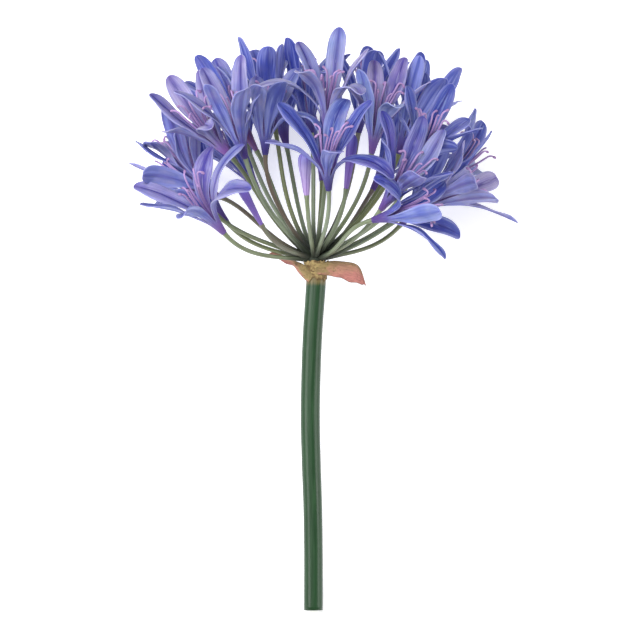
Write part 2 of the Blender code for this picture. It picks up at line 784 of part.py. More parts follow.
def main():
    for old in list(bpy.data.objects):
        bpy.data.objects.remove(old)
    bpy.context.scene.collection.children.link(bpy.data.collections.new("agapanthus"))
    umbel = bpy.data.objects.new("umbel", None)
    bpy.data.collections["agapanthus"].objects.link(umbel)
    umbel.matrix_basis = lying_frame()

    violet = material("petal violet", (0.13, 0.12, 0.46), 0.55)
    pink = material("filament pink", (0.62, 0.37, 0.55), 0.5)
    purple = material("bud purple", (0.25, 0.13, 0.40), 0.5)
    olive = material("stalk olive", (0.12, 0.15, 0.08), 0.55)
    green = material("stem green", (0.04, 0.10, 0.045), 0.4)
    paper = material("bract paper", (0.47, 0.28, 0.17), 0.75)

    petals = open_petals()
    for row in FLORETS:
        make_perianth(row, petals[row.name], violet, umbel)
        make_stamens(row, pink, umbel)
    for row in BUDS:
        make_bud(row, purple, umbel)
    make_pedicels(olive, umbel)
    make_scape(green, umbel)
    make_bract("bract_right", RIGHT_BRACT, paper, umbel)
    make_bract("bract_left", LEFT_BRACT, paper, umbel)


if __name__ == "__main__":
    main()
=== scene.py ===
"""Dresses the cut agapanthus flower head: petals, stamens, buds, stalks, stem, bracts and stage.

The flower is set out in an upright frame with its origin at the base of the
umbel: x to the right, y up the stem and z to the front. lying_frame() lays it
down where its solids lie. The tables give places in the upright frame, in millimetres.
"""

import json
import math
import random
from typing import NamedTuple

import bpy
from bpy.props import FloatProperty, FloatVectorProperty, IntProperty, PointerProperty
from mathutils import Matrix, Vector, noise
from mathutils.bvhtree import BVHTree

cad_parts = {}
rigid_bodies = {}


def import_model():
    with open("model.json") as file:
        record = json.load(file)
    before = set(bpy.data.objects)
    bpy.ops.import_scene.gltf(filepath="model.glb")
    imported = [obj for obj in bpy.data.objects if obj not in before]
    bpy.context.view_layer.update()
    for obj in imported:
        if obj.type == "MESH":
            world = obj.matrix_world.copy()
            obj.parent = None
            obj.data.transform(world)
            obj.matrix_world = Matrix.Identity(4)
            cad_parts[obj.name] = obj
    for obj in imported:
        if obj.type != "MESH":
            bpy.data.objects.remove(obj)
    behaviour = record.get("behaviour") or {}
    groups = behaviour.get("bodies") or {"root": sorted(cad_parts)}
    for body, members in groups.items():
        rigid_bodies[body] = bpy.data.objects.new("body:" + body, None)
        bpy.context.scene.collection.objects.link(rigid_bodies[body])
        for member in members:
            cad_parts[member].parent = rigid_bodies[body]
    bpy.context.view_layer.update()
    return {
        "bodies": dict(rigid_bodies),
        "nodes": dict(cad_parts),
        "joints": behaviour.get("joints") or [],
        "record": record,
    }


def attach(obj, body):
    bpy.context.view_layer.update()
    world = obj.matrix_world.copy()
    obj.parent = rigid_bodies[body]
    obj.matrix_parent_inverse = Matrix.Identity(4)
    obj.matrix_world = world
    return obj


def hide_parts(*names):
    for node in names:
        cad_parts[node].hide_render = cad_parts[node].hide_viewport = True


bl_info = {
    "name": "Agapanthus flower head",
    "version": (1, 0, 0),
    "blender": (4, 5, 0),
    "location": "3D View > Sidebar > Agapanthus",
    "description": "Adds the petals, stamens, buds, stalks, stem, bracts and stage of a cut agapanthus",
    "category": "Add Mesh",
}

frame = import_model()

MM = 0.001
UP = Vector((0, 1, 0))
FRONT = Vector((0, 0, 1))

# How the cut flower lies
LEAN = math.radians(17)
UMBEL_ACROSS = -4.6 * MM
UMBEL_ALONG = 27 * MM

# Stem
SCAPE_LENGTH = 191 * MM
SCAPE_RADIUS = 5.2 * MM
SCAPE_TAPER = 0.96
# Places along the stem, each with how far it stands to the side
SCAPE_BENDS = (
    (-2, 0.4),
    (-12, 0.3),
    (-37, -1.4),
    (-60, -2.4),
    (-85, -2.8),
    (-110, -2.3),
    (-135, -1.5),
    (-160, -1.1),
    (-191, -1.1),
)

# Stalks, and the knuckle that they grow from
PEDICEL_RADIUS = 1.2 * MM
PEDICEL_STEPS = 7
KNUCKLE_RADIUS = 6.2 * MM
KNUCKLE_CENTRE = 2.2 * MM
ROOT_DEPTH = 4 * MM
SEAT = 0.3 * MM
CLIMB_SHARE = 0.95
CLIMB_DROP = math.radians(12)
ROOT_PULL = 0.45
FOOT_PULL = 0.3

# Funnel of a floret
TUBE_LENGTH = 9 * MM
TUBE_BASE = 1.5 * MM
TUBE_WAIST = 2.2 * MM
THROAT = 3.2 * MM
FLARE = math.radians(16)

# Petals
PETAL_COUNT = 6
PETAL_WIDTH = 10.4 * MM
PETAL_ROOT = THROAT * math.sin(math.pi / PETAL_COUNT)
WIDEST = 0.62
ROOT_GUTTER = 0.27
TIP_GUTTER = 0.15
SHELL = 0.65 * MM
ROWS = (0.0, 0.3, 0.65, 0.9)
SPINE_STEPS = 24
# What a petal's opening and sweep are drawn from, in degrees, and its length where it has no aim
USUAL_OPENINGS = (40, 62)
USUAL_SWEEPS = (-8, 8)
USUAL_LENGTHS = (0.93, 1.0)
# What a petal may be bent to, in degrees and shares of its length
OPENINGS = range(16, 148, 6)
SWEEPS = range(-72, 73, 8)
LENGTHS = (1.0, 0.9, 0.8, 0.65)
SWEEP_COST = 0.7
SHORTER_COST = 35
# How thick a sheet is taken to be when petals are set clear of it
CLEAR = 1.5 * MM
# How much is added all round to stalks, buds and stamens for the same
GUARD = 0.35 * MM
# Depth counts only this much when a petal's tip is set against its aim
DEPTH_SHARE = 0.5
# Share of its length at which a petal is rolled until it is seen edge-on
EDGE_ON_AT = 0.7
# Steps in which a petal is closed until it rests on the surface
HALVINGS = 20

# Outline of the head from the front, which petals without an aim keep inside
HEAD_CENTRE = 45 * MM
HEAD_HALF_WIDTH = 88 * MM
HEAD_HALF_HEIGHT = 72 * MM
HEAD_SQUARENESS = 3
OUTSIDE_COST = 300

# Stamens
STAMEN_COUNT = 7
KNOB_TOP = 6.5 * MM
KNOB_TOP_RADIUS = 1.4 * MM
STAMEN_LENGTH = 30 * MM
STAMEN_LENGTHS = (0.86, 1.08)
STAMEN_SPREADS = (9, 15)
STAMEN_RADIUS = 0.55 * MM
STAMEN_STEPS = (0.25, 0.68, 1.0)
STAMEN_ROOT = 0.62
STAMEN_CURL = 3.5 * MM

# Shares of a bud's length, each with the radius there of a bud of girth 1
BUD_SHAPE = (
    (1.0, 0.0),
    (0.975, 1.5),
    (0.88, 3.3),
    (0.7, 3.6),
    (0.42, 2.7),
    (0.12, 1.9),
    (0, 1.4),
    (0, 0),
)


class Floret(NamedTuple):
    """Where a floret's funnel starts, the way it faces, where its petals aim, and its colour.

    A tone's three numbers run from pale to deep, from lilac to blue, and from a blue funnel to a
    pink one. Petals that differ from the rest of their floret have a tone of their own.
    """

    name: str
    base: tuple
    faces: tuple
    spin: float = 0
    aims: dict = {}
    length: float = 47
    edge_on: tuple = ()
    tone: tuple = (0.65, 0.6, 0.3)
    petal_tones: dict = {}


class Bud(NamedTuple):
    """A bud's place, and its tone: from pale to deep, from lilac to plum, and how pink its foot is."""

    name: str
    base: tuple
    tip: tuple
    girth: float
    tone: tuple


FLORETS = (
    Floret("left_low", (-49.7, 16.3, 42), (-0.56, 0.66, 0.45), 40, {
        0: (-38, 38.5, 70), 1: (-38.8, 62.2, 48), 2: (-56.7, 60.8, 40),
        3: (-95.2, 40.4, 46), 4: (-93.8, 31.4, 56), 5: (-72, 24.2, 81)},
        tone=(0.4, 0.4, 0.5), petal_tones={1: (0.5, 0.7, 0.5), 2: (0.9, 0.5, 0.5)}),
    Floret("centre_front", (7.5, 39.5, 58), (-0.05, 0.85, 0.5), 55, {
        0: (39, 43.5, 75), 2: (16.5, 86.9, 50), 3: (-19.3, 84.7, 62),
        4: (-25.9, 63.8, 78), 5: (12.1, 58.3, 98)}, edge_on=(4,), tone=(0.75, 0.65, 0.1),
        petal_tones={0: (0.8, 0.5, 0.1), 2: (0.6, 0.85, 0.1), 3: (0.85, 0.95, 0.1)}),
    Floret("right_low", (31.4, 23, 52), (0.88, 0.2, 0.35), 25, {
        0: (68.2, 27, 85), 1: (70.4, 3, 60), 2: (74.3, 17, 50),
        3: (68.8, 42.4, 45), 5: (34.7, 45.1, 80)}, 43,
        tone=(1.0, 0.9, 0.3), petal_tones={0: (0.3, 0.8, 0.3)}),
    Floret("right_front", (36, 29, 50), (0.5, 0.7, 0.5), 15, {
        1: (73.2, 47.9, 83), 2: (71.5, 74.8, 57), 3: (61.6, 74.3, 44),
        4: (36.3, 80.6, 58)}, tone=(0.75, 0.65, 0.5),
        petal_tones={2: (0.35, 0.85, 0.5), 3: (0.85, 0.7, 0.5), 4: (0.85, 0.5, 0.5)}),
    Floret("left_front", (-38, 57, 42), (-0.27, 0.9, 0.3), 20, {
        0: (-38, 91.3, 78), 2: (-39.6, 111.1, 44), 5: (-57.8, 94, 70)}, tone=(0.3, 0.35, 0.2)),
    Floret("left_upper", (-46, 58, 24), (-0.6, 0.65, 0.25), 55, {
        2: (-78.9, 100.9, 20), 3: (-87.2, 92.4, 33), 4: (-78, 70, 48), 5: (-54, 73, 65)},
        tone=(0.3, 0.25, 1.0)),
    Floret("top", (6.5, 71, 28), (0, 0.97, 0.2), 35, {
        0: (24.2, 91, 64), 2: (11.8, 128.4, 26), 3: (-9.9, 120.2, 22),
        4: (-29.2, 93.5, 40), 5: (-8.3, 101.8, 62)}, 49,
        tone=(0.15, 0.35, 0.3), petal_tones={2: (0.2, 0.65, 0.3)}),
    Floret("top_left", (-27.2, 59.4, 22), (0, 0.97, 0.2), 20, {
        1: (-2.8, 73.2, 35), 5: (-37.4, 98.5, 51)}, tone=(0.5, 0.8, 0.1)),
    Floret("top_right", (31, 60, 30), (0.15, 0.93, 0.25), 20, {
        0: (44, 81.4, 66), 2: (47.9, 110.6, 30), 5: (24.2, 101.8, 58)}, tone=(0.3, 0.1, 0.6),
        petal_tones={0: (0.0, 1.0, 0.6), 2: (0.4, 0.0, 0.6), 5: (0.0, 1.0, 0.6)}),
    Floret("right_upper", (52, 46, 34), (0.35, 0.85, 0.3), 5, {
        3: (74.8, 95.4, 34), 4: (49, 96, 44)}, tone=(0.75, 0.9, 0.4)),
    Floret("right_far", (57, 30, 12), (0.85, 0.4, 0.2), 45, {
        0: (96.6, 34.7, 41), 1: (110, 22.6, 15), 2: (98.5, 45.7, -5),
        3: (82, 52, -18), 4: (79, 62, 34), 5: (86.1, 42.4, 49)}, edge_on=(1,), tone=(0.15, 0.1, 0.4)),
    Floret("left_far", (-52, 36, 20), (-0.9, 0.35, 0.1), 10, {
        0: (-92.1, 48.4, 47), 1: (-76, 70, 32), 2: (-100.9, 64.9, 14),
        3: (-104, 55, 18)}, edge_on=(2, 3), tone=(0.55, 0.6, 0.6), petal_tones={0: (0.15, 0.6, 0.6)}),
    Floret("left_back", (-62, 38, -6), (-0.42, 0.9, 0), 50, {
        3: (-74, 66, -30), 4: (-80, 60, -2), 5: (-82, 82, -2)}, tone=(0.55, 0.4, 0.8)),
    Floret("left_top_back", (-38, 66, -22), (-0.35, 0.9, -0.15), 45, {
        2: (-57.2, 116.6, -34), 5: (-63.3, 112.2, -14)}, tone=(0.75, 0.8, 0.2)),
    Floret("top_left_back", (-22, 74, -2), (-0.2, 0.95, 0), 0, {
        1: (-18.4, 120, 4), 3: (-32.5, 115, -20), 5: (-39, 118, 2)}, tone=(0.8, 0.9, 0.2)),
    Floret("top_back", (-2, 72, -18), (-0.1, 0.97, -0.1), 15, {
        0: (5, 104, 4), 5: (-13.2, 118, -16)}, tone=(1.0, 1.0, 0.1)),
    Floret("top_right_back", (24, 72, -16), (0.15, 0.97, -0.1), 5, {
        0: (33.5, 113.9, 5), 1: (46.6, 116.3, -14), 3: (28.9, 116.6, -34)}, tone=(1.0, 0.9, 0.1)),
    Floret("right_top", (46, 60, 8), (0.3, 0.92, 0.1), 30, {
        1: (74, 93, 12), 3: (60.2, 115.5, 4), 5: (58.9, 110.6, 22)}, 49,
        tone=(0.75, 1.0, 0.2), petal_tones={5: (0.4, 1.0, 0.2)}),
    Floret("right_top_back", (47, 63, -26), (0.45, 0.87, -0.15), 45, {
        0: (78.9, 107, -22), 1: (76, 88, -38), 3: (64.9, 111.7, -38)}, tone=(0.85, 1.0, 0.2)),
    Floret("right_back", (64, 40, -14), (0.75, 0.62, 0.05), 15, {
        0: (99.6, 70.4, 4), 1: (82, 50, -24), 2: (82, 58, -40), 3: (92, 76, -31),
        4: (88, 82, -12)}, edge_on=(0,), tone=(0.7, 0.8, 0.4)),
    Floret("under_left", (-49, 23, -32), (-0.62, 0.7, -0.25)),
    Floret("under_mid_left", (-32, 41, -51), (-0.5, 0.8, -0.25), 20),
    Floret("under_mid", (4, 46, -56), (0.05, 0.93, -0.3), 10),
    Floret("under_mid_right", (32, 41, -51), (0.5, 0.8, -0.25), 40),
    Floret("under_right", (48, 22, -34), (0.62, 0.7, -0.25), 30),
    Floret("under_top", (-16, 66, -45), (-0.2, 0.95, -0.25), 50),
)

BUDS = (
    Bud("front", (-4.5, 36.3, 50), (-6, 60, 56), 1.0, (0.2, 0.0, 0.4)),
    Bud("middle", (17, 40, 40), (21, 70, 46), 0.85, (0.95, 0.0, 0.3)),
    Bud("left", (-29, 20.4, 35), (-43, 45.6, 41), 0.75, (0.9, 0.05, 0.2)),
    Bud("back", (-32, 61.6, -10), (-40, 75.5, -10), 0.8, (1.0, 1.0, 0.2)),
)

# Each band starts against the stem, and its rows run from the upper to the lower edge
RIGHT_BRACT = (
    ((-2.0, -3.3, 5.5), (-1.4, -4.5, 5.7), (-0.5, -5.6, 5.85)),
    ((3.6, 0, 5.8), (3.2, -3.4, 6.4), (2.8, -6.4, 6.0)),
    ((9.4, 1.1, 3.6), (9.0, -3, 5.6), (8.2, -7.0, 5.4)),
    ((15.4, 0.8, 2), (15.6, -3.8, 4.6), (14.2, -8.5, 4.5)),
    ((21.8, -0.3, 1), (22.2, -5.2, 3), (21, -10.8, 3.5)),
    ((25.2, -3.6, 1), (25.8, -8, 2), (25.6, -11.6, 3)),
    ((28, -12.6, 2.5),),
)
LEFT_BRACT = (
    ((-3.9, -3.6, 4.2), (-1.6, -6.9, 5.8), (-3.6, -10.6, 4.8)),
    ((-6.6, -0.6, 3.2), (-6.0, -4.6, 4.6), (-5.8, -8.8, 3.4)),
    ((-10, 0.8, 0.5), (-9.6, -2.0, 2.2), (-9.0, -5.2, 1.2)),
    ((-14.2, 3.0, -3.5), (-13.2, 0.6, -1.5), (-11.8, -1.9, -1.5)),
    ((-19.5, 4.8, -6.5), (-19.0, 3.0, -4.8), (-18, 1.0, -4.5)),
    ((-23.5, 6.0, -9.0), (-24.3, 4.8, -7.6), (-23.6, 3.2, -7.2)),
    ((-25.8, 4.4, -8.6),),
)

# Finer petals than the solids have
LOWER_ROWS = 15
UPPER_ROWS = 12
TUBE_STEPS = 7
# A petal's outline is fuller towards its tip than its solid's, and every other petal is broader
FULLEST = 0.68
TIP_ROUNDNESS = 2.7
BREADTHS = (1.1, 0.97)
GROOVE_WIDTH = 0.14
RUFFLE_WAVES = 1.6
CRUMPLE_SCALE = 90
TUBE_FOOT = -0.2 * MM
# What the marks give for chance where nothing is drawn
MIDDLING = 0.5

# Finer stamens
# An ovary's heights in its floret and its radii there, in millimetres
OVARY_SHAPE = ((0.6, 0.4), (1.2, 0.8), (2.2, 1.0), (3.6, 1.05), (5, 0.95), (6, 0.7), (6.6, 0.3))
# How far out and up in its floret a filament starts, in millimetres
FILAMENT_START = (0.8, 3.5)
FILAMENT_STEPS = 14
FILAMENT_SIDES = 6
FILAMENT_TAPER = 0.7
BOW = 0.8 * MM
BOW_WAVES = 0.75
HOOK_STEPS = 6
HOOK_STEP = 0.6 * MM
HOOK_BENDS = (0.8, 2.4)
HOOK_TURNS = (-0.9, 0.9)
# Shares of an anther's length, each with a share of its radius
ANTHER_SHAPE = ((0.0, 0.0), (0.12, 0.7), (0.45, 1.0), (0.8, 0.85), (1.0, 0.0))
ANTHER_GIRTH = 1.15
ANTHER_HOLD = 0.35
SMALL_SIDES = 8
# Marks past a filament's two ends
OVARY_MARK = -0.3
ANTHER_MARK = 1.2

# Finer buds
BUD_RINGS = 30
BUD_SIDES = 30
BUD_POINT = 0.02
BUD_TWIST = 0.5
SEAM_WIDTH = 0.25
SEAM_DEPTH = 0.1
# Share of its length by which a bud's seams are deepest below the middle
SEAM_LEAD = 0.1

# Finer stalks
# Heights over the knuckle's centre and its radii there, as shares of its radius
KNUCKLE_SHAPE = ((-0.75, 0.8), (-0.5, 0.88), (0, 1), (0.5, 0.87), (0.8, 0.6), (0.97, 0.2))
KNUCKLE_SIDES = 24
STALK_STEPS = 26
STALK_SIDES = 10
STALK_REACH = 0.5
ROOT_SWELL = 0.6 * MM
SWELL_START = 0.88
# The stalks nearest the front are pulled towards the lighter grey green: painted light that they catch at
# the front of the head
FRONT_DEPTH = 40 * MM
GREYEST = 0.65
PAINTED_FRONT_LIGHT = 0.8

# Finer stem
STEM_TOP = 5.5 * MM
STEM_FOOT = 5.15 * MM
STEM_ASIDE = 0.2 * MM
STEM_STEPS = 120
STEM_SIDES = 48
STEM_UNEVENNESS = 0.02
# Shares of the cut end's radius, each with its rise in millimetres
CUT_SHAPE = ((0.93, 0), (0.85, 0.1), (0.5, 0.3))

# Finer bracts
BRACT_ROWS = 44
BRACT_COLUMNS = 20
# How far their lower edges curl, as a multiple of the creases
BRACT_CURL = 1.6

# Collar round the top of the stem
COLLAR_SIDES = 72
COLLAR_ROWS = 10
COLLAR_CENTRE = Vector((0.4 * MM + STEM_ASIDE, 0, 0.1 * MM))
# Its edges, its gap round the stem, and how far it flutters and spreads, in millimetres
COLLAR_TOP = 1.2
COLLAR_FOOT = -9
COLLAR_GAP = 0.28
COLLAR_FLUTTER = 0.12
COLLAR_SPREAD = 0.9

# Camera, lights and floor
VIEW_WIDTH = 352 * MM
VIEW_CENTRE = (2.75 * MM, -31.35 * MM)
SENSOR = 36
LIT_PLACE = Vector((0, 0.02, 0.08))
LIGHT_SIZE = 0.6
FLOOR_REACH = 4


def lerp(start, end, share):
    return start + (end - start) * share


def smooth(share):
    share = min(max(share, 0), 1)
    return share * share * (3 - 2 * share)


def shares(count):
    """Even shares from 0 to 1."""
    return [step / count for step in range(count + 1)]


def turns(count):
    """The share of a turn and the angle of each side of a ring."""
    return [(side / count, math.tau * side / count) for side in range(count)]


def flat(angle):
    """Unit vector at an angle round z."""
    return Vector((math.cos(angle), math.sin(angle), 0))


def metres(place):
    """A place from a table of millimetres."""
    return Vector(place) * MM


def catmull(points, share):
    """Place on a smooth curve through evenly numbered points."""
    place = share * (len(points) - 1)
    index = min(int(place), len(points) - 2)
    t = place - index
    b, c = points[index], points[index + 1]
    a = points[index - 1] if index else b * 2 - c
    d = points[index + 2] if index + 2 < len(points) else c * 2 - b
    return (b * 2 + (c - a) * t + (a * 2 - b * 5 + c * 4 - d) * t**2 + (b * 3 - a - c * 3 + d) * t**3) / 2


def linear(channel):
    """A channel from 0 to 255, as a colour picker shows it, to the linear value that light adds in."""
    share = channel / 255
    return share / 12.92 if share <= 0.04045 else ((share + 0.055) / 1.055) ** 2.4


def colour(name, description, *channels):
    """A colour setting, whose default is given as a colour picker shows it."""
    default = (*map(linear, channels), 1)
    return FloatVectorProperty(
        name=name, description=description, subtype="COLOR", size=4, min=0, max=1, default=default
    )


def length(name, description, millimetres):
    return FloatProperty(
        name=name, description=description, unit="LENGTH", min=0, precision=5, default=millimetres * MM
    )


def amount(name, description, default):
    return FloatProperty(name=name, description=description, subtype="FACTOR", min=0, max=1, default=default)


def power(name, description, default):
    return FloatProperty(name=name, description=description, subtype="POWER", min=0, default=default)


class PetalSettings(bpy.types.PropertyGroup):
    """Sizes and colours of the petals and their funnels."""

    columns: IntProperty(name="Columns", description="Faces across each petal", min=6, max=24, default=12)
    thickness: length("Thickness", "Thickness of a petal down its middle", 0.5)
    groove: length("Groove", "Depth of the groove over a petal's midrib", 0.4)
    fold: length("Fold", "How sharply a petal is folded along its midrib", 1.6)
    ruffle: length("Ruffle", "How far a petal's margins wave", 0.8)
    crumple: length("Crumple", "How far a petal's face is off smooth", 0.35)
    glow: length("Glow", "How far light spreads inside a petal", 1.0)
    roughness: amount("Roughness", "How matt the petals are", 0.5)
    pale_lilac: colour("Pale lilac", "The palest petals that lean to lilac", 158, 150, 190)
    pale_blue: colour("Pale blue", "The palest petals that lean to blue", 132, 148, 194)
    deep_violet: colour("Deep violet", "The deepest petals that lean to violet", 86, 68, 150)
    deep_blue: colour("Deep blue", "The deepest petals that lean to blue", 56, 68, 154)
    margin: colour("Margin", "Pale band along a petal's margins", 166, 166, 206)
    rib: colour("Midrib", "Dark line down the middle of a petal", 42, 40, 120)
    throat: colour("Throat", "Where the face runs into the funnel", 146, 100, 172)
    back: colour("Back", "Outer face of the petals", 80, 90, 178)
    # Painted sheen: the light that folds on the outer face would catch, laid on as a colour
    painted_sheen: colour("Painted sheen", "Light folds on the outer face", 138, 146, 206)
    # The blue funnel's dark foot is partly its own colour and partly painted shade, deep inside the head
    base: colour("Funnel", "Outside of a blue funnel, at its foot", 38, 38, 110)
    blush: colour("Pink funnel", "Outside of a pink funnel", 140, 96, 170)


class StamenSettings(bpy.types.PropertyGroup):
    """Sizes and colours of the stamens."""

    radius: length("Radius", "Radius of a filament at its foot", 0.68)
    anther: length("Anther", "Length of an anther", 2.6)
    foot: colour("Foot", "Filaments in the throat", 118, 94, 160)
    tip: colour("Tip", "Filaments at their ends", 174, 142, 192)
    anthers: colour("Anthers", "Anthers", 158, 124, 172)
    ovary: colour("Ovary", "Ovary at the bottom of the funnel", 120, 110, 130)


class BudSettings(bpy.types.PropertyGroup):
    """Colours of the closed buds."""

    pale: colour("Pale", "The palest bud", 168, 156, 202)
    deep: colour("Deep", "The deepest bud", 100, 80, 168)
    plum: colour("Plum", "The reddest bud", 84, 44, 92)
    blush: colour("Blush", "Pink towards the foot", 176, 132, 190)
    crown: colour("Crown", "Blue towards the tip", 90, 88, 176)
    seam: colour("Seam", "Lines between the closed petals", 92, 66, 146)


class StalkSettings(bpy.types.PropertyGroup):
    """Sizes and colours of the stalks."""

    swell: length("Swell", "How far a stalk widens under its floret", 0.35)
    olive: colour("Olive", "The greener stalks", 99, 107, 67)
    grey: colour("Grey green", "The greyer stalks", 121, 133, 107)
    brown: colour("Brown", "The browner stalks", 94, 78, 68)
    # Painted shade where the stalks crowd together at the knuckle
    shade: colour("Root", "Stalks where they crowd together", 30, 38, 26)


class StemSettings(bpy.types.PropertyGroup):
    """Colours of the stem."""

    green: colour("Green", "The stem", 34, 66, 38)
    dark: colour("Dark streaks", "Dark streaks along the stem", 26, 52, 30)
    light: colour("Light streaks", "Pale streaks along the stem", 50, 82, 52)
    stain: colour("Stain", "Brown stain under the collar", 112, 96, 60)
    pith: colour("Pith", "The cut end", 150, 168, 112)
    rind: colour("Rind", "The rim of the cut end", 44, 60, 36)


class BractSettings(bpy.types.PropertyGroup):
    """Sizes and colours of the papery bracts and the collar."""

    thickness: length("Thickness", "Thickness of the paper", 0.3)
    crease: length("Crease", "How far the paper is creased", 0.5)
    ochre: colour("Ochre", "Paper near the stem", 155, 134, 87)
    salmon: colour("Salmon", "Paper in the middle of a bract", 192, 144, 116)
    rose: colour("Rose", "Paper at a bract's tip", 190, 124, 114)
    brown: colour("Brown", "Stains, and the bracts' outlines", 96, 74, 44)


class StageSettings(bpy.types.PropertyGroup):
    """Sizes and strengths of the stage."""

    distance: length("Camera distance", "From the camera to the head", 5000)
    key: power("Key", "Light from the front", 16.2)
    left: power("Left", "Light from the left", 9)
    right: power("Right", "Light from the right", 7)
    sky: amount("Sky", "Strength of the light from all round", 0.25)
    glow: amount("Glow", "How far the floor lights its own shadows", 0.56)
    floor: colour("Floor", "The surface that the flower lies on", 246, 246, 247)


SETTINGS = {
    "agapanthus_petals": PetalSettings,
    "agapanthus_stamens": StamenSettings,
    "agapanthus_buds": BudSettings,
    "agapanthus_stalks": StalkSettings,
    "agapanthus_stem": StemSettings,
    "agapanthus_bracts": BractSettings,
    "agapanthus_stage": StageSettings,
}


class Wire:
    """A socket on its way through a material. Python's operators add Math nodes to it."""

    def __init__(self, finish, socket):
        self.finish = finish
        self.socket = socket

    def __add__(self, other):
        return self.finish.maths("ADD", self, other)

    def __sub__(self, other):
        return self.finish.maths("SUBTRACT", self, other)

    def __rsub__(self, other):
        return self.finish.maths("SUBTRACT", other, self)

    def __mul__(self, other):
        return self.finish.maths("MULTIPLY", self, other)

    def __abs__(self):
        return self.finish.maths("ABSOLUTE", self, 0)

    __radd__ = __add__
    __rmul__ = __mul__


class Finish:
    """A material, with one method that adds any node to it."""

    def __init__(self, name, roughness, shine=0.5):
        self.material = bpy.data.materials.new(name)
        self.material.use_nodes = True
        self.tree = self.material.node_tree
        self.shader = self.tree.nodes["Principled BSDF"]
        self.set("Roughness", roughness)
        self.set("Specular IOR Level", shine)

    def feed(self, socket, value):
        if isinstance(value, Wire):
            self.tree.links.new(value.socket, socket)
        else:
            socket.default_value = value

    def set(self, name, value):
        self.feed(self.shader.inputs[name], value)

    def node(self, kind, settings, sockets, output):
        """Adds a node with its settings, feeds its sockets and gives the output named."""
        made = self.tree.nodes.new("ShaderNode" + kind)
        for name, value in settings.items():
            setattr(made, name, value)
        for socket in made.inputs:
            if socket.identifier in sockets:
                self.feed(socket, sockets[socket.identifier])
        return Wire(self, next(socket for socket in made.outputs if socket.identifier == output))

    def maths(self, operation, first, second):
        return self.node("Math", {"operation": operation}, {"Value": first, "Value_001": second}, "Value")

    def rise(self, value, low, high, start=0.0, end=1.0):
        """The value's smooth rise from start to end, between low and high."""
        sockets = {"Value": value, "From Min": low, "From Max": high, "To Min": start, "To Max": end}
        return self.node("MapRange", {"interpolation_type": "SMOOTHSTEP"}, sockets, "Result")

    def mix(self, share, first, second, blend="MIX"):
        sockets = {"Factor_Float": share, "A_Color": first, "B_Color": second}
        return self.node("Mix", {"data_type": "RGBA", "blend_type": blend}, sockets, "Result_Color")

    def lay(self, tint, over, value, low, high, start=0.0, end=1.0):
        """The tint with another laid over it, by a value's rise."""
        return self.mix(self.rise(value, low, high, start, end), tint, over)

    def shade(self, tint, value):
        """The colour made lighter or darker by a value round 1."""
        grey = self.node("CombineColor", {}, {"Red": value, "Green": value, "Blue": value}, "Color")
        return self.mix(1.0, tint, grey, "MULTIPLY")

    def paint(self, tint, grain, dark, light, low=0.3, high=0.7):
        """Gives the surface a colour that a grain makes darker and lighter."""
        self.set("Base Color", self.shade(tint, self.rise(grain, low, high, dark, light)))

    def attribute(self, name):
        """The three numbers of a mesh attribute."""
        vector = self.node("Attribute", {"attribute_name": name}, {}, "Vector")
        return [self.node("SeparateXYZ", {}, {"Vector": vector}, axis) for axis in "XYZ"]

    def join(self, x, y, z):
        return self.node("CombineXYZ", {}, {"X": x, "Y": y, "Z": z}, "Vector")

    def place(self):
        return self.node("TexCoord", {}, {}, "Object")

    def grain(self, vector, scale, detail=3.0, distortion=0.0):
        """Noise from 0 to 1 at a place."""
        sockets = {"Vector": vector, "Scale": scale, "Detail": detail, "Distortion": distortion}
        return self.node("TexNoise", {}, sockets, "Fac")

    def bump(self, height, millimetres):
        """Raises the surface by a height from 0 to 1 of a depth, and gives the finished material."""
        sockets = {"Strength": 1.0, "Distance": millimetres * MM, "Height": height}
        self.set("Normal", self.node("Bump", {}, sockets, "Normal"))
        return self.material


class PetalFinish(Finish):
    """A finish that knows where a point is on its petal, the grain there, and its plain colour."""

    def __init__(self, name, look):
        super().__init__(name, look.roughness, shine=0.3)
        self.across, self.along, self.chance = self.attribute("mark")
        depth, hue, self.pink = self.attribute("tone")
        self.veins = self.grain(self.join(self.across * 9, self.along * 1.6, self.chance * 20), 2.2)
        self.cloud = self.grain(self.place(), 90.0, 2.0)
        hue = self.rise(hue + (self.chance - 0.5) * 0.6 + (self.cloud - 0.5) * 1.1, 0.0, 1.0)
        self.pale = self.mix(hue, look.pale_lilac, look.pale_blue)
        self.deep = self.mix(hue, look.deep_violet, look.deep_blue)
        depth = depth + (self.chance - 0.5) * 0.5 + (self.cloud - 0.5) * 0.6
        self.tint = self.lay(self.pale, self.deep, depth, 0.0, 1.0)
        self.set("Subsurface Weight", 0.5)
        self.set("Subsurface Radius", (0.4, 0.4, 1.0))
        self.set("Subsurface Scale", look.glow)


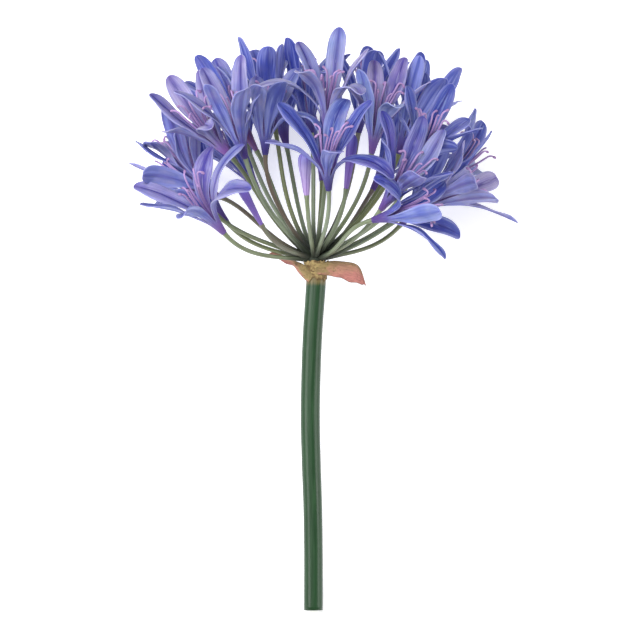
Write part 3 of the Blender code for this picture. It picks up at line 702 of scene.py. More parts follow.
def petal_face(look):
    """Inner face of the petals: a dark midrib, pale margins and patches, and fine veins."""
    finish = PetalFinish("petal face", look)
    across, along, chance, veins = finish.across, finish.along, finish.chance, finish.veins
    margin = finish.rise(across + (veins - 0.5) * 0.3, 0.6, 1.0, 0.0, 0.4)
    tint = finish.mix(margin * finish.rise(along, 0.1, 0.4), finish.tint, look.margin)
    tint = finish.lay(tint, finish.deep, across + (veins - 0.5) * 0.25, 0.05, 0.65, 0.7, 0.0)
    line = finish.rise(across + (veins - 0.5) * 0.06, 0.0, 0.24, 0.72, 0.0)
    line = line * finish.rise(along, 0.85, 1.0, 1.0, 0.2) * finish.rise(chance, 0.0, 0.7, 0.45, 1.1)
    tint = finish.mix(line, tint, look.rib)
    wash = finish.grain(finish.join(across * 1.6, along * 1.1, chance * 30), 3.0, 2.0, 0.4)
    tint = finish.lay(tint, finish.pale, wash, 0.5, 0.68, 0.0, 0.55)
    tint = finish.lay(tint, finish.deep, along + (finish.cloud - 0.5) * 0.1, 0.86, 1.02, 0.0, 0.7)
    tint = finish.lay(tint, look.throat, along, 0.34, -0.05, 0.0, 0.8)
    finish.paint(tint, veins, 0.82, 1.1)
    return finish.bump(veins, 0.2)


def petal_back(look):
    """Outer face of the petals and the funnel: broad folds, the lighter ones a painted sheen and the rest
    deep, dark down the middle, and a dark blue foot that is partly its own colour and partly painted shade.
    """
    finish = PetalFinish("petal back", look)
    across, along, chance, veins = finish.across, finish.along, finish.chance, finish.veins
    # Painted sheen: a pale colour laid over broad noise, standing for light caught on folds
    folds = finish.grain(finish.join(across * 1.4, along * 0.9, chance * 20), 2.0, 1.0)
    tint = finish.lay(finish.tint, look.back, finish.cloud, 0.3, 0.7, 0.1, 0.5)
    tint = finish.lay(tint, look.painted_sheen, folds, 0.4, 0.65, 0.0, 0.8)
    tint = finish.lay(tint, finish.deep, across, 0.0, 0.4, 0.6, 0.0)
    tint = finish.lay(tint, look.margin, across, 0.8, 1.0, 0.0, 0.3)
    # Towards the foot the funnel turns to its own blue and pink colours; the dark blue foot is partly
    # painted shade deep inside the head
    tint = finish.lay(tint, finish.mix(finish.pink, look.base, look.blush), along, 0.25, -0.15)
    finish.paint(tint, veins, 0.86, 1.08)
    return finish.bump(veins, 0.15)


def petal_edge(look):
    """The edge of a petal, a little paler than its face."""
    finish = PetalFinish("petal edge", look)
    finish.set("Base Color", finish.mix(0.5, finish.tint, look.margin))
    return finish.material


def filament_finish(look):
    """Pink at the foot and paler at the end, with a dusty anther past it."""
    finish = Finish("filament", 0.45)
    along, chance, _ = finish.attribute("mark")
    grain = finish.grain(finish.place(), 900.0)
    tint = finish.lay(look.foot, look.tip, along, 0.1, 0.9)
    tint = finish.lay(tint, look.anthers, along, 1.02, 1.1)
    tint = finish.lay(tint, look.ovary, along, -0.05, -0.15)
    level = finish.rise(grain, 0.3, 0.7, 0.92, 1.06) + (chance - 0.5) * 0.12
    finish.set("Base Color", finish.shade(tint, level))
    return finish.bump(grain, 0.1)


def bud_finish(look):
    """Closed petals: seams down the sides, pink at the foot and blue at the tip."""
    finish = Finish("bud", 0.5)
    around, along, _ = finish.attribute("mark")
    depth, plum, pink = finish.attribute("tone")
    veins = finish.grain(finish.join(around * 14, along * 1.3, depth * 9), 2.0)
    deep = finish.mix(plum, look.deep, look.plum)
    tint = finish.lay(look.pale, deep, depth + (veins - 0.5) * 0.4, 0.0, 1.0)
    tint = finish.mix(pink * finish.rise(along, 0.75, 0.05), tint, look.blush)
    tint = finish.lay(tint, look.crown, along, 0.6, 0.95, 0.0, 0.7)
    wave = finish.maths("COSINE", around * (math.tau * PETAL_COUNT), 0)
    tint = finish.lay(tint, look.seam, wave, 0.8, 1.0, 0.0, 0.7)
    finish.paint(tint, veins, 0.9, 1.08)
    return finish.bump(veins, 0.15)


def stalk_finish(look):
    """Waxy stalks, some greener and some browner, rougher where they crowd together and darker there with
    painted shade.
    """
    finish = Finish("stalk", 0.42)
    along, chance, around = finish.attribute("mark")
    streak = finish.grain(finish.join(around * 9, along * 2.5, chance * 40), 2.0)
    tint = finish.lay(look.olive, look.grey, chance + (streak - 0.5) * 0.5, 0.2, 0.7)
    tint = finish.lay(tint, look.brown, chance + (streak - 0.5) * 0.4, 0.78, 0.95, 0.0, 0.9)
    # Painted shade: darker towards the knuckle, where the stalks crowd together
    tint = finish.lay(tint, look.shade, along + (streak - 0.5) * 0.1, 0.3, 0.06, 0.0, 0.95)
    finish.paint(tint, streak, 0.85, 1.12)
    matt = finish.rise(along, 0.25, 0.06, 0.0, 0.4)
    finish.set("Roughness", finish.rise(streak, 0.2, 0.8, 0.3, 0.44) + matt)
    return finish.bump(streak, 0.12)


def stem_finish(look):
    """Waxy green with fine streaks along it, stained towards the collar."""
    finish = Finish("stem", 0.3, shine=0.3)
    along, around, height = finish.attribute("mark")
    streak = finish.grain(finish.join(around * 12, along * 3, 0.0), 3.0, 4.0)
    broad = finish.grain(finish.join(around * 3, along * 4, 3.0), 2.0)
    tint = finish.lay(look.green, look.dark, broad, 0.35, 0.65, 0.0, 0.5)
    tint = finish.lay(tint, look.light, streak, 0.5, 0.75, 0.0, 0.45)
    tint = finish.lay(tint, look.stain, height + (streak - 0.5) * 0.02, 0.932, 0.948, 0.0, 0.85)
    finish.paint(tint, streak, 0.92, 1.08, 0.25, 0.75)
    finish.set("Roughness", finish.rise(streak, 0.2, 0.8, 0.3, 0.4))
    return finish.bump(streak, 0.05)


def cut_finish(look):
    """The stem's cut end: pale pith in a dark rind, with a scatter of darker strands."""
    finish = Finish("stem cut", 0.6)
    _, _, inward = finish.attribute("mark")
    strands = finish.node("TexVoronoi", {}, {"Vector": finish.place(), "Scale": 900.0}, "Distance")
    tint = finish.lay(look.pith, look.rind, inward, 0.12, 0.02)
    finish.set("Base Color", finish.lay(tint, look.rind, strands, 0.28, 0.1, 0.0, 0.5))
    return finish.bump(strands, 0.2)


def bract_finish(look):
    """Dry paper: ochre by the stem, salmon and rose further out, stained and brown-edged."""
    finish = Finish("bract", 0.8)
    across, along, _ = finish.attribute("mark")
    fibre = finish.grain(finish.join(across * 10, along * 3, 2.0), 2.0, 4.0)
    stain = finish.grain(finish.place(), 260.0, 4.0, 0.6)
    blot = finish.grain(finish.place(), 700.0)
    reach = along + (stain - 0.5) * 0.7
    tint = finish.lay(look.ochre, look.salmon, reach, 0.12, 0.45)
    tint = finish.lay(tint, look.rose, reach + across * 0.4, 0.3, 0.85)
    tint = finish.lay(tint, look.ochre, across + (stain - 0.5) * 0.6, -0.3, -1.0, 0.0, 0.75)
    tint = finish.lay(tint, look.brown, blot, 0.56, 0.72, 0.0, 0.5)
    tint = finish.lay(tint, look.brown, abs(across), 0.88, 1.0, 0.0, 0.6)
    finish.paint(tint, fibre, 0.78, 1.12)
    return finish.bump(fibre + stain, 0.8)


def collar_finish(look):
    """The bracts' dried bases round the stem: mottled ochre and brown."""
    finish = Finish("collar", 0.85)
    _, down, _ = finish.attribute("mark")
    mottle = finish.grain(finish.place(), 500.0, 4.0, 0.8)
    tint = finish.lay(look.ochre, look.brown, mottle, 0.42, 0.65)
    finish.set("Base Color", finish.lay(tint, look.brown, down, 0.75, 1.0, 0.0, 0.8))
    return finish.bump(mottle, 0.5)


def floor_finish(look):
    """A pale matt surface that lights up its own shadows a little."""
    finish = Finish("floor", 0.9, shine=0.1)
    finish.paint(look.floor, finish.grain(finish.place(), 400.0), 0.995, 1.0)
    finish.set("Emission Color", look.floor)
    finish.set("Emission Strength", look.glow)
    return finish.material


class Shape:
    """Points with their marks, and faces with their finishes, gathered for one mesh."""

    def __init__(self, tone=()):
        self.tone = tone
        self.tones = []
        self.points = []
        self.marks = []
        self.faces = []
        self.finishes = []

    def point(self, place, mark):
        self.points.append(place)
        self.marks += mark
        self.tones += self.tone
        return len(self.points) - 1

    def face(self, corners, finish=0):
        self.faces.append(corners)
        self.finishes.append(finish)

    def fan(self, row, tip, closed=False, finish=0):
        """Triangles from a row to one point past it."""
        count = len(row)
        for index in range(count if closed else count - 1):
            self.face((row[index], tip, row[(index + 1) % count]), finish)

    def skin(self, rows, closed=False, finish=0):
        """Four-sided faces between neighbouring rows of the same length."""
        for near, far in zip(rows, rows[1:]):
            count = len(near)
            for index in range(count if closed else count - 1):
                after = (index + 1) % count
                self.face((near[index], far[index], far[after], near[after]), finish)

    def tube(self, rings, foot, tip):
        """A closed skin through rings, from one end point to the other."""
        self.fan(rings[0], foot, True)
        for near, far in zip(rings, rings[1:]):
            self.skin((far, near), True)
        self.fan(rings[-1][::-1], tip, True)

    def sweep(self, path, radii, sides, chance, fixed=None):
        """A round skin along a path. Its marks are along, or a fixed number for it, chance and around."""
        across = (path[1] - path[0]).orthogonal().normalized()
        last = len(path) - 1
        rings = []
        for index, centre in enumerate(path):
            along = index / last if fixed is None else fixed
            ahead = (path[min(index + 1, last)] - path[max(index - 1, 0)]).normalized()
            across = (across - ahead * across.dot(ahead)).normalized()
            beside = ahead.cross(across)
            ring = []
            for around, angle in turns(sides):
                outward = across * math.cos(angle) + beside * math.sin(angle)
                ring.append(self.point(centre + outward * radii[index], (along, chance, around)))
            rings.append(ring)
        start, end = (0, 1) if fixed is None else (fixed, fixed)
        self.tube(rings, self.point(path[0], (start, chance, 0)), self.point(path[-1], (end, chance, 0)))

    def mesh(self, name):
        mesh = bpy.data.meshes.new(name)
        mesh.from_pydata(self.points, [], self.faces)
        mesh.polygons.foreach_set("material_index", self.finishes)
        for label, numbers in (("mark", self.marks), ("tone", self.tones)):
            if numbers:
                attribute = mesh.attributes.new(label, "FLOAT_VECTOR", "POINT")
                attribute.data.foreach_set("vector", numbers)
        mesh.shade_smooth()
        mesh.update()
        return mesh


def lying_frame():
    """Matrix from the upright frame to the surface that the flower lies on."""
    height = SCAPE_LENGTH * math.sin(LEAN) + SCAPE_RADIUS * SCAPE_TAPER * math.cos(LEAN)
    place = Matrix.Translation((UMBEL_ACROSS, UMBEL_ALONG, height))
    return place @ Matrix.Rotation(LEAN, 4, "X")


def floret_frame(row):
    """Matrix of a floret: x to the front, y to its right, z along its funnel."""
    axis = Vector(row.faces).normalized()
    front = (FRONT - axis * axis.dot(FRONT)).normalized()
    right = axis.cross(front)
    frame = Matrix((front, right, axis)).transposed().to_4x4()
    frame.translation = metres(row.base)
    return frame


def half_width(along):
    """Half the width of a petal, at a share of its length."""
    if along <= WIDEST:
        return lerp(PETAL_ROOT, PETAL_WIDTH / 2, smooth(along / WIDEST))
    end = (along - WIDEST) / (1 - WIDEST)
    return PETAL_WIDTH / 2 * math.sqrt(max(0, 1 - end * end))


def ways(lean, aside):
    """Directions across a petal and off its inner face, where it leans and turns aside."""
    across = Vector((-math.sin(aside) * math.sin(lean), math.cos(aside), -math.sin(aside) * math.cos(lean)))
    return across, Vector((-math.cos(lean), 0, math.sin(lean)))


class Petal(NamedTuple):
    """One petal: its place round the funnel, and how it opens, sweeps aside and rolls."""

    turn: float
    opening: float
    sweep: float
    length: float
    roll: float = 0

    def spine(self):
        """Points down the middle as (out, side, up), each with its lean from the axis."""
        out, side, up = THROAT, 0.0, TUBE_LENGTH
        step = self.length / SPINE_STEPS
        line = [(out, side, up, FLARE)]
        for index in range(SPINE_STEPS):
            share = (index + 0.5) / SPINE_STEPS
            lean = lerp(FLARE, self.opening, share)
            aside = self.sweep * share
            out += step * math.sin(lean) * math.cos(aside)
            side += step * math.sin(aside)
            up += step * math.cos(lean) * math.cos(aside)
            line.append((out, side, up, lerp(FLARE, self.opening, (index + 1) / SPINE_STEPS)))
        return line

    def point(self, line, along, across):
        """Place on the sheet, with across from -1 at one edge to 1 at the other."""
        place = along * SPINE_STEPS
        index = min(int(place), SPINE_STEPS - 1)
        out, side, up, lean = (lerp(a, b, place - index) for a, b in zip(line[index], line[index + 1]))
        half = half_width(along)
        lift = half * lerp(ROOT_GUTTER, TIP_GUTTER, min(along / WIDEST, 1)) * across * across
        beside, inward = ways(lean, self.sweep * along)
        roll = self.roll * smooth(along * 1.5)
        place = Vector((out, side, up))
        place += (beside * math.cos(roll) + inward * math.sin(roll)) * half * across
        place += (inward * math.cos(roll) - beside * math.sin(roll)) * lift
        return Matrix.Rotation(self.turn, 3, "Z") @ place

    def edge_on(self, view):
        """The petal, rolled until its outer half stands edge-on to a view."""
        view = Matrix.Rotation(-self.turn, 3, "Z") @ view
        beside, inward = ways(lerp(FLARE, self.opening, EDGE_ON_AT), self.sweep * EDGE_ON_AT)
        return self._replace(roll=math.atan(inward.dot(view) / beside.dot(view)))

    def rows(self):
        """Rows of three points, root first, and a last row with the tip alone."""
        line = self.spine()
        sheet = [[self.point(line, along, across) for across in (-1, 0, 1)] for along in ROWS]
        return sheet + [[self.point(line, 1.0, 0)]]


class Skin:
    """A skin in the upright frame, ready to be tested against another."""

    def __init__(self, points, faces, frame=None):
        points = [frame @ point for point in points] if frame else points
        self.tree = BVHTree.FromPolygons(points, faces)
        self.centre = sum(points, Vector()) / len(points)
        self.reach = max((point - self.centre).length for point in points)

    def crosses(self, other):
        near = (self.centre - other.centre).length <= self.reach + other.reach
        return near and bool(self.tree.overlap(other.tree))


def guarded_sheet(rows, frame=None):
    """Skin of a sheet given as rows of points, with the thickness that is kept clear."""
    points = [point for row in rows for point in row]
    faces = []
    start = 0
    for near, far in zip(rows, rows[1:]):
        after = start + len(near)
        for a in range(start, after - 1):
            if len(far) == 1:
                faces.append((a, a + 1, after))
            else:
                c = a - start + after
                faces += [(a, a + 1, c + 1), (a, c + 1, c)]
        start = after
    normals = [Vector() for _ in points]
    for face in faces:
        a, b, c = (points[index] for index in face)
        for index in face:
            normals[index] += (b - a).cross(c - a)
    offsets = [normal.normalized() * CLEAR / 2 for normal in normals]
    both = [p + o for p, o in zip(points, offsets)] + [p - o for p, o in zip(points, offsets)]
    faces += [tuple(index + len(points) for index in face) for face in faces]
    return Skin(both, faces, frame)


def guarded_sleeve(path, radii, sides, frame=None):
    """Round skin along a path."""
    points = []
    for index, centre in enumerate(path):
        ahead = path[min(index + 1, len(path) - 1)] - path[max(index - 1, 0)]
        turn = ahead.to_track_quat("Z", "Y")
        points += [centre + turn @ (flat(angle) * radii[index]) for _, angle in turns(sides)]
    faces = []
    for start in range(0, len(points) - sides, sides):
        for side in range(sides):
            a, b = start + side, start + (side + 1) % sides
            faces += [(a, b, b + sides), (a, b + sides, a + sides)]
    return Skin(points, faces, frame)


def pedicel_path(base, axis, count):
    """A stalk's route from the knuckle to the foot of a floret or a bud."""
    away = Vector((base.x, 0, base.z))
    climb = math.atan2(base.y, away.length) * CLIMB_SHARE - CLIMB_DROP
    start = away.normalized() * math.cos(climb) + UP * math.sin(climb)
    root = UP * KNUCKLE_CENTRE + start * ROOT_DEPTH
    end = base - axis * SEAT
    span = (end - root).length
    near, far = root + start * span * ROOT_PULL, end - axis * span * FOOT_PULL
    path = []
    for t in shares(count):
        s = 1 - t
        path.append(root * s**3 + near * 3 * s * s * t + far * 3 * s * t * t + end * t**3)
    return path


def stalk_ends():
    """Foot and direction of every floret and bud, in the upright frame."""
    for row in FLORETS:
        axis = Vector(row.faces).normalized()
        yield metres(row.base) - axis * SHELL / 2, axis
    for row in BUDS:
        base = metres(row.base)
        yield base, (metres(row.tip) - base).normalized()


class Stamen(NamedTuple):
    """One filament or style, in its floret's frame."""

    outward: Vector
    spread: float
    length: float
    curl: Vector

    def point(self, share):
        rise = self.length * share
        out = KNOB_TOP_RADIUS * STAMEN_ROOT + self.spread * rise * lerp(0.5, 1, share)
        return self.outward * out + self.curl * share**3 + Vector((0, 0, KNOB_TOP + rise))


def stamens_of(name):
    """A floret's stamens, drawn from its name."""
    draw = random.Random(name)
    curl = flat(draw.uniform(0, math.tau)) * STAMEN_CURL
    stamens = []
    for index in range(STAMEN_COUNT):
        outward = flat(math.tau * (index + 0.5) / STAMEN_COUNT)
        spread = math.tan(math.radians(draw.uniform(*STAMEN_SPREADS)))
        stamens.append(Stamen(outward, spread, STAMEN_LENGTH * draw.uniform(*STAMEN_LENGTHS), curl))
    return stamens


class Held(NamedTuple):
    """A skin that petals have to clear. A floret's own petals skip what is at its throat."""

    owner: str
    at_throat: bool
    skin: Skin


def fixed_skins():
    """What stands before the petals do: stalks, buds, bracts, funnels and stamens."""
    held = []
    for base, axis in stalk_ends():
        path = pedicel_path(base, axis, PEDICEL_STEPS)
        held.append(Held("", False, guarded_sleeve(path, [PEDICEL_RADIUS + GUARD] * len(path), 6)))
    for row in BUDS:
        base, tip = metres(row.base), metres(row.tip)
        path = [base.lerp(tip, share) for share, _ in BUD_SHAPE]
        radii = [radius * row.girth * MM + GUARD for _, radius in BUD_SHAPE]
        held.append(Held("", False, guarded_sleeve(path, radii, 8)))
    for sheet in (RIGHT_BRACT, LEFT_BRACT):
        held.append(Held("", False, guarded_sheet([[metres(point) for point in row] for row in sheet])))
    for row in FLORETS:
        frame = floret_frame(row)
        path = [Vector((0, 0, height)) for height in (0, TUBE_LENGTH / 2, TUBE_LENGTH)]
        radii = [radius + SHELL for radius in (TUBE_BASE, TUBE_WAIST, THROAT)]
        held.append(Held(row.name, True, guarded_sleeve(path, radii, 8, frame)))
        for stamen in stamens_of(row.name):
            path = [stamen.point(share) for share in STAMEN_STEPS]
            radii = [STAMEN_RADIUS + GUARD] * len(path)
            held.append(Held(row.name, False, guarded_sleeve(path, radii, 4, frame)))
    return held


def outside(place):
    """How far a place is past the head's outline, as a share of the head."""
    wide = abs(place.x / HEAD_HALF_WIDTH) ** HEAD_SQUARENESS
    high = abs((place.y - HEAD_CENTRE) / HEAD_HALF_HEIGHT) ** HEAD_SQUARENESS
    return max((wide + high) ** (1 / HEAD_SQUARENESS) - 1, 0)


def choices(wanted, aim, view, frame):
    """Openings, sweeps and lengths for a petal, the nearest to what is wanted first."""
    ranked = []
    for opening in OPENINGS:
        for sweep in SWEEPS:
            for share in LENGTHS:
                petal = wanted._replace(
                    opening=math.radians(opening), sweep=math.radians(sweep), length=wanted.length * share
                )
                if view:
                    petal = petal.edge_on(view)
                tip = frame @ petal.point(petal.spine(), 1.0, 0)
                cost = SHORTER_COST * (1 - share)
                if aim:
                    miss = tip - aim
                    cost += Vector((miss.x, miss.y, miss.z * DEPTH_SHARE)).length / MM
                else:
                    cost += abs(opening - math.degrees(wanted.opening))
                    cost += SWEEP_COST * abs(sweep - math.degrees(wanted.sweep))
                    cost += OUTSIDE_COST * outside(tip)
                ranked.append((cost, opening, sweep, petal))
    ranked.sort(key=lambda entry: entry[:3])
    return [entry[3] for entry in ranked]


def lowest(petal, to_surface):
    """Height of the petal's lowest point over the surface."""
    points = [to_surface @ point for row in petal.rows() for point in row]
    return min(point.z for point in points) - SHELL / 2


def resting(petal, to_surface):
    """The petal, closed just as far as it takes to lie on the surface."""
    shut, wide = FLARE, petal.opening
    for _ in range(HALVINGS):
        middle = (shut + wide) / 2
        if lowest(petal._replace(opening=middle), to_surface) < 0:
            wide = middle
        else:
            shut = middle
    return petal._replace(opening=shut)


def open_petals():
    """Every floret's six petals, bent clear of each other and of all else."""
    draw = random.Random("agapanthus")
    held = fixed_skins()
    lying = lying_frame()
    petals = {row.name: [None] * PETAL_COUNT for row in FLORETS}
    wanted = []
    for row in FLORETS:
        for slot in range(PETAL_COUNT):
            aim = row.aims.get(slot)
            petal = Petal(
                math.radians(row.spin + 360 / PETAL_COUNT * slot),
                math.radians(draw.uniform(*USUAL_OPENINGS)),
                math.radians(draw.uniform(*USUAL_SWEEPS)),
                row.length * MM * (draw.uniform(*USUAL_LENGTHS) if aim is None else 1),
            )
            wanted.append((row, slot, petal, metres(aim) if aim else None))
    wanted.sort(key=lambda entry: entry[3] is None)
    for row, slot, petal, aim in wanted:
        frame = floret_frame(row)
        to_surface = lying @ frame
        view = frame.to_3x3().transposed() @ FRONT if slot in row.edge_on else None
        options = choices(petal, aim, view, frame)
        first = options[0]
        if lowest(first, to_surface) < 0:
            first = resting(first, to_surface)
        for option in [first] + options:
            if lowest(option, to_surface) < 0:
                continue
            rows = option.rows()
            whole, outer = guarded_sheet(rows, frame), guarded_sheet(rows[1:], frame)
            others = (other for other in held if other.owner != row.name)
            own = (other for other in held if other.owner == row.name and not other.at_throat)
            if any(whole.crosses(other.skin) for other in others):
                continue
            if not any(outer.crosses(other.skin) for other in own):
                break
        else:
            raise ValueError(f"no room for petal {slot} of {row.name}")
        petals[row.name][slot] = option
        held.append(Held(row.name, False, outer))
        held.append(Held(row.name, True, guarded_sheet(rows[:2], frame)))
    return petals


def linked(name, data):
    """A new object in the scene."""
    made = bpy.data.objects.new(name, data)
    bpy.context.scene.collection.objects.link(made)
    return made


def put(shape, name, nodes, finishes, place=Matrix.Identity(4)):
    """Adds a piece on the flower's body, in place of its solids."""
    mesh = shape.mesh(name)
    mesh.transform(lying_frame() @ place)
    for finish in finishes:
        mesh.materials.append(finish)
    piece = linked(name, mesh)
    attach(piece, "root")
    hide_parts(*nodes)
    return piece


def thicken(piece, thickness, **settings):
    """Gives a sheet its thickness."""
    shell = piece.modifiers.new("Shell", "SOLIDIFY")
    shell.thickness = thickness
    for name, value in settings.items():
        setattr(shell, name, value)


def tube_radius(height):
    """Radius of a funnel: a smooth curve through its base, waist and throat."""
    t = height / TUBE_LENGTH
    pull = 2 * TUBE_WAIST - (TUBE_BASE + THROAT) / 2
    return TUBE_BASE * (1 - t) ** 2 + pull * 2 * t * (1 - t) + THROAT * t * t


def petal_stations():
    """Shares of a petal's length: even to its widest place, then closing in on its tip."""
    lower = [WIDEST * step / LOWER_ROWS for step in range(LOWER_ROWS + 1)]
    quarter = math.pi / 2
    return lower + [lerp(WIDEST, 1, math.sin(quarter * step / UPPER_ROWS)) for step in range(1, UPPER_ROWS)]


def fuller(along, breadth):
    """How much wider a petal is here than its solid."""
    if along <= FULLEST:
        half = lerp(PETAL_ROOT, PETAL_WIDTH / 2 * breadth, smooth(along / FULLEST))
    else:
        end = (along - FULLEST) / (1 - FULLEST)
        half = PETAL_WIDTH / 2 * breadth * math.sqrt(1 - end**TIP_ROUNDNESS)
    return half / half_width(along)


def petal_grid(petal, breadth, columns, look, draw):
    """Rows of places over a petal, with its groove, its waved margins and its unevenness, and its tip."""
    line = petal.spine()
    stations = petal_stations()
    grid = []
    for along in stations:
        spread = fuller(along, breadth)
        grid.append([petal.point(line, along, across * spread) for across in columns])
    phases = (draw.uniform(0, 1), draw.uniform(0, 1))
    seed = Vector((draw.uniform(0, 99), draw.uniform(0, 99), draw.uniform(0, 99)))
    rows = []
    for index, along in enumerate(stations):
        row = []
        behind, here, ahead = grid[max(index - 1, 0)], grid[index], grid[min(index + 1, len(grid) - 1)]
        for column, across in enumerate(columns):
            side = here[min(column + 1, look.columns)] - here[max(column - 1, 0)]
            normal = (ahead[column] - behind[column]).cross(side).normalized()
            wave = math.sin(math.tau * (RUFFLE_WAVES * along + phases[across > 0]))
            lift = look.ruffle * wave * abs(across) ** 3 + look.fold * (abs(across) - across**2)
            lift -= look.groove * math.exp(-((across / GROOVE_WIDTH) ** 2))
            lift += look.crumple * noise.noise(here[column] * CRUMPLE_SCALE + seed)
            # The relief fades out towards the petal's root and its tip
            row.append(here[column] + normal * lift * smooth(along * 4) * smooth((1 - along) * 8))
        rows.append(row)
    return rows, petal.point(line, 1.0, 0)


def bloom(row, petals, look):
    """A funnel and its six petals as one sheet."""
    shape = Shape(row.tone)
    draw = random.Random("bloom " + row.name)
    columns = [2 * share - 1 for share in shares(look.columns)]
    grids = [petal_grid(petal, BREADTHS[slot % 2], columns, look, draw) for slot, petal in enumerate(petals)]
    around = [(root, abs(across)) for rows, _ in grids for root, across in zip(rows[0], columns[:-1])]
    rings = []
    for step in range(TUBE_STEPS + 1):
        height = TUBE_LENGTH * step / TUBE_STEPS
        scale = tube_radius(height) / THROAT
        along = (height - TUBE_LENGTH) / petals[0].length
        ring = []
        for root, across in around:
            place = Vector((root.x * scale, root.y * scale, height + (root.z - TUBE_LENGTH) * scale))
            ring.append(shape.point(place, (across, along, MIDDLING)))
        rings.append(ring)
    foot = shape.point(Vector((0, 0, TUBE_FOOT)), (0, -TUBE_LENGTH / petals[0].length, MIDDLING))
    shape.fan(rings[0][::-1], foot, True)
    shape.skin(rings, True)
    for slot, (rows, tip) in enumerate(grids):
        chance = draw.random()
        shape.tone = row.petal_tones.get(slot, row.tone)
        start = slot * look.columns
        lines = [[ring[(start + column) % len(ring)] for column in range(look.columns + 1)]]
        for along, places in zip(petal_stations()[1:], rows[1:]):
            marks = [(abs(across), along, chance) for across in columns]
            lines.append([shape.point(place, mark) for place, mark in zip(places, marks)])
        shape.skin(lines)
        shape.fan(lines[-1], shape.point(tip, (0, 1, chance)))
    return shape


def add_petals(look):
    finishes = (petal_face(look), petal_back(look), petal_edge(look))
    petals = open_petals()
    for row in FLORETS:
        shape = bloom(row, petals[row.name], look)
        nodes = ["perianth_" + row.name]
        piece = put(shape, "petals_" + row.name, nodes, finishes, floret_frame(row))
        thicken(piece, look.thickness, offset=0, material_offset=1, material_offset_rim=2)


def filament_path(stamen, draw):
    """Places along a filament, bowed and hooked at its end, and the direction that it ends in."""
    out, up = FILAMENT_START
    path = [stamen.outward * out * MM + Vector((0, 0, up * MM))]
    beside = Vector((-stamen.outward.y, stamen.outward.x, 0)) * BOW * draw.uniform(-1, 1)
    for share in shares(FILAMENT_STEPS):
        path.append(stamen.point(share) + beside * math.sin(math.tau * BOW_WAVES * share))
    ahead = (path[-1] - path[-2]).normalized()
    aside = Matrix.Rotation(draw.uniform(*HOOK_TURNS), 3, "Z") @ stamen.outward
    aside = (aside - ahead * aside.dot(ahead)).normalized()
    bend = draw.uniform(*HOOK_BENDS)
    for step in range(HOOK_STEPS):
        angle = bend * (step + 1) / HOOK_STEPS
        heading = ahead * math.cos(angle) + aside * math.sin(angle)
        path.append(path[-1] + heading * HOOK_STEP)
    return path, heading


def add_stamens(look):
    finish = filament_finish(look)
    for row in FLORETS:
        shape = Shape()
        draw = random.Random("anthers " + row.name)
        ovary = [Vector((0, 0, height * MM)) for height, _ in OVARY_SHAPE]
        shape.sweep(ovary, [radius * MM for _, radius in OVARY_SHAPE], SMALL_SIDES, MIDDLING, OVARY_MARK)
        for index, stamen in enumerate(stamens_of(row.name)):
            chance = draw.random()
            path, heading = filament_path(stamen, draw)
            radii = [look.radius * lerp(1, FILAMENT_TAPER, share) for share in shares(len(path) - 1)]
            shape.sweep(path, radii, FILAMENT_SIDES, chance)
            # The first is the style, which has no anther
            if index:
                start = path[-1] - heading * look.anther * ANTHER_HOLD
                anther = [start + heading * look.anther * share for share, _ in ANTHER_SHAPE]
                radii = [look.radius * ANTHER_GIRTH * radius for _, radius in ANTHER_SHAPE]
                shape.sweep(anther, radii, SMALL_SIDES, chance, ANTHER_MARK)
        nodes = ["stamens_" + row.name]
        put(shape, "filaments_" + row.name, nodes, [finish], floret_frame(row))


def add_buds(look):
    finish = bud_finish(look)
    profile = [Vector((share, radius, 0)) for share, radius in BUD_SHAPE[-2::-1]]
    for row in BUDS:
        shape = Shape(row.tone)
        base, tip = metres(row.base), metres(row.tip)
        turn = (tip - base).to_track_quat("Z", "Y")
        rings = []
        for step in shares(BUD_RINGS):
            share, radius, _ = catmull(profile, smooth(step))
            share, radius = min(max(share, 0), 1), max(radius, BUD_POINT) * row.girth * MM
            ring = []
            for around, angle in turns(BUD_SIDES):
                seam = math.exp(-((math.cos(angle * PETAL_COUNT / 2) / SEAM_WIDTH) ** 2))
                reach = radius * (1 - SEAM_DEPTH * seam * math.sin(math.pi * min(share + SEAM_LEAD, 1)))
                place = base.lerp(tip, share) + turn @ (flat(angle + share * BUD_TWIST) * reach)
                # The marks are whole sixths of a turn in the seams
                ring.append(shape.point(place, ((around + 0.5 / PETAL_COUNT) % 1, share, 0)))
            rings.append(ring)
        shape.tube(rings, shape.point(base, (0, 0, 0)), shape.point(tip, (0, 1, 0)))
        put(shape, "closed_bud_" + row.name, ["bud_" + row.name], [finish])


def add_stalks(look):
    shape = Shape()
    draw = random.Random("stalks")
    knuckle = [UP * (KNUCKLE_CENTRE + KNUCKLE_RADIUS * height) for height, _ in KNUCKLE_SHAPE]
    radii = [KNUCKLE_RADIUS * radius for _, radius in KNUCKLE_SHAPE]
    # With its mark of 0, the knuckle takes the painted shade of the stalks' roots all over
    shape.sweep(knuckle, radii, KNUCKLE_SIDES, MIDDLING, 0)
    for base, axis in stalk_ends():
        # The stalks nearest the front are drawn the greyest and lightest, partly painted light that the
        # front ones catch; the draw itself is random
        chance = lerp(draw.random(), GREYEST, PAINTED_FRONT_LIGHT * smooth(base.z / FRONT_DEPTH - 0.5))
        path = pedicel_path(base, axis, STALK_STEPS)
        path.append(base + axis * STALK_REACH * MM)
        radii = []
        for share in shares(len(path) - 1):
            swell = look.swell * smooth((share - SWELL_START) / (1 - SWELL_START))
            swell += ROOT_SWELL * smooth(1 - share * 5)
            radii.append(PEDICEL_RADIUS + swell)
        shape.sweep(path, radii, STALK_SIDES, chance)
    put(shape, "stalks", ["pedicels"], [stalk_finish(look)])


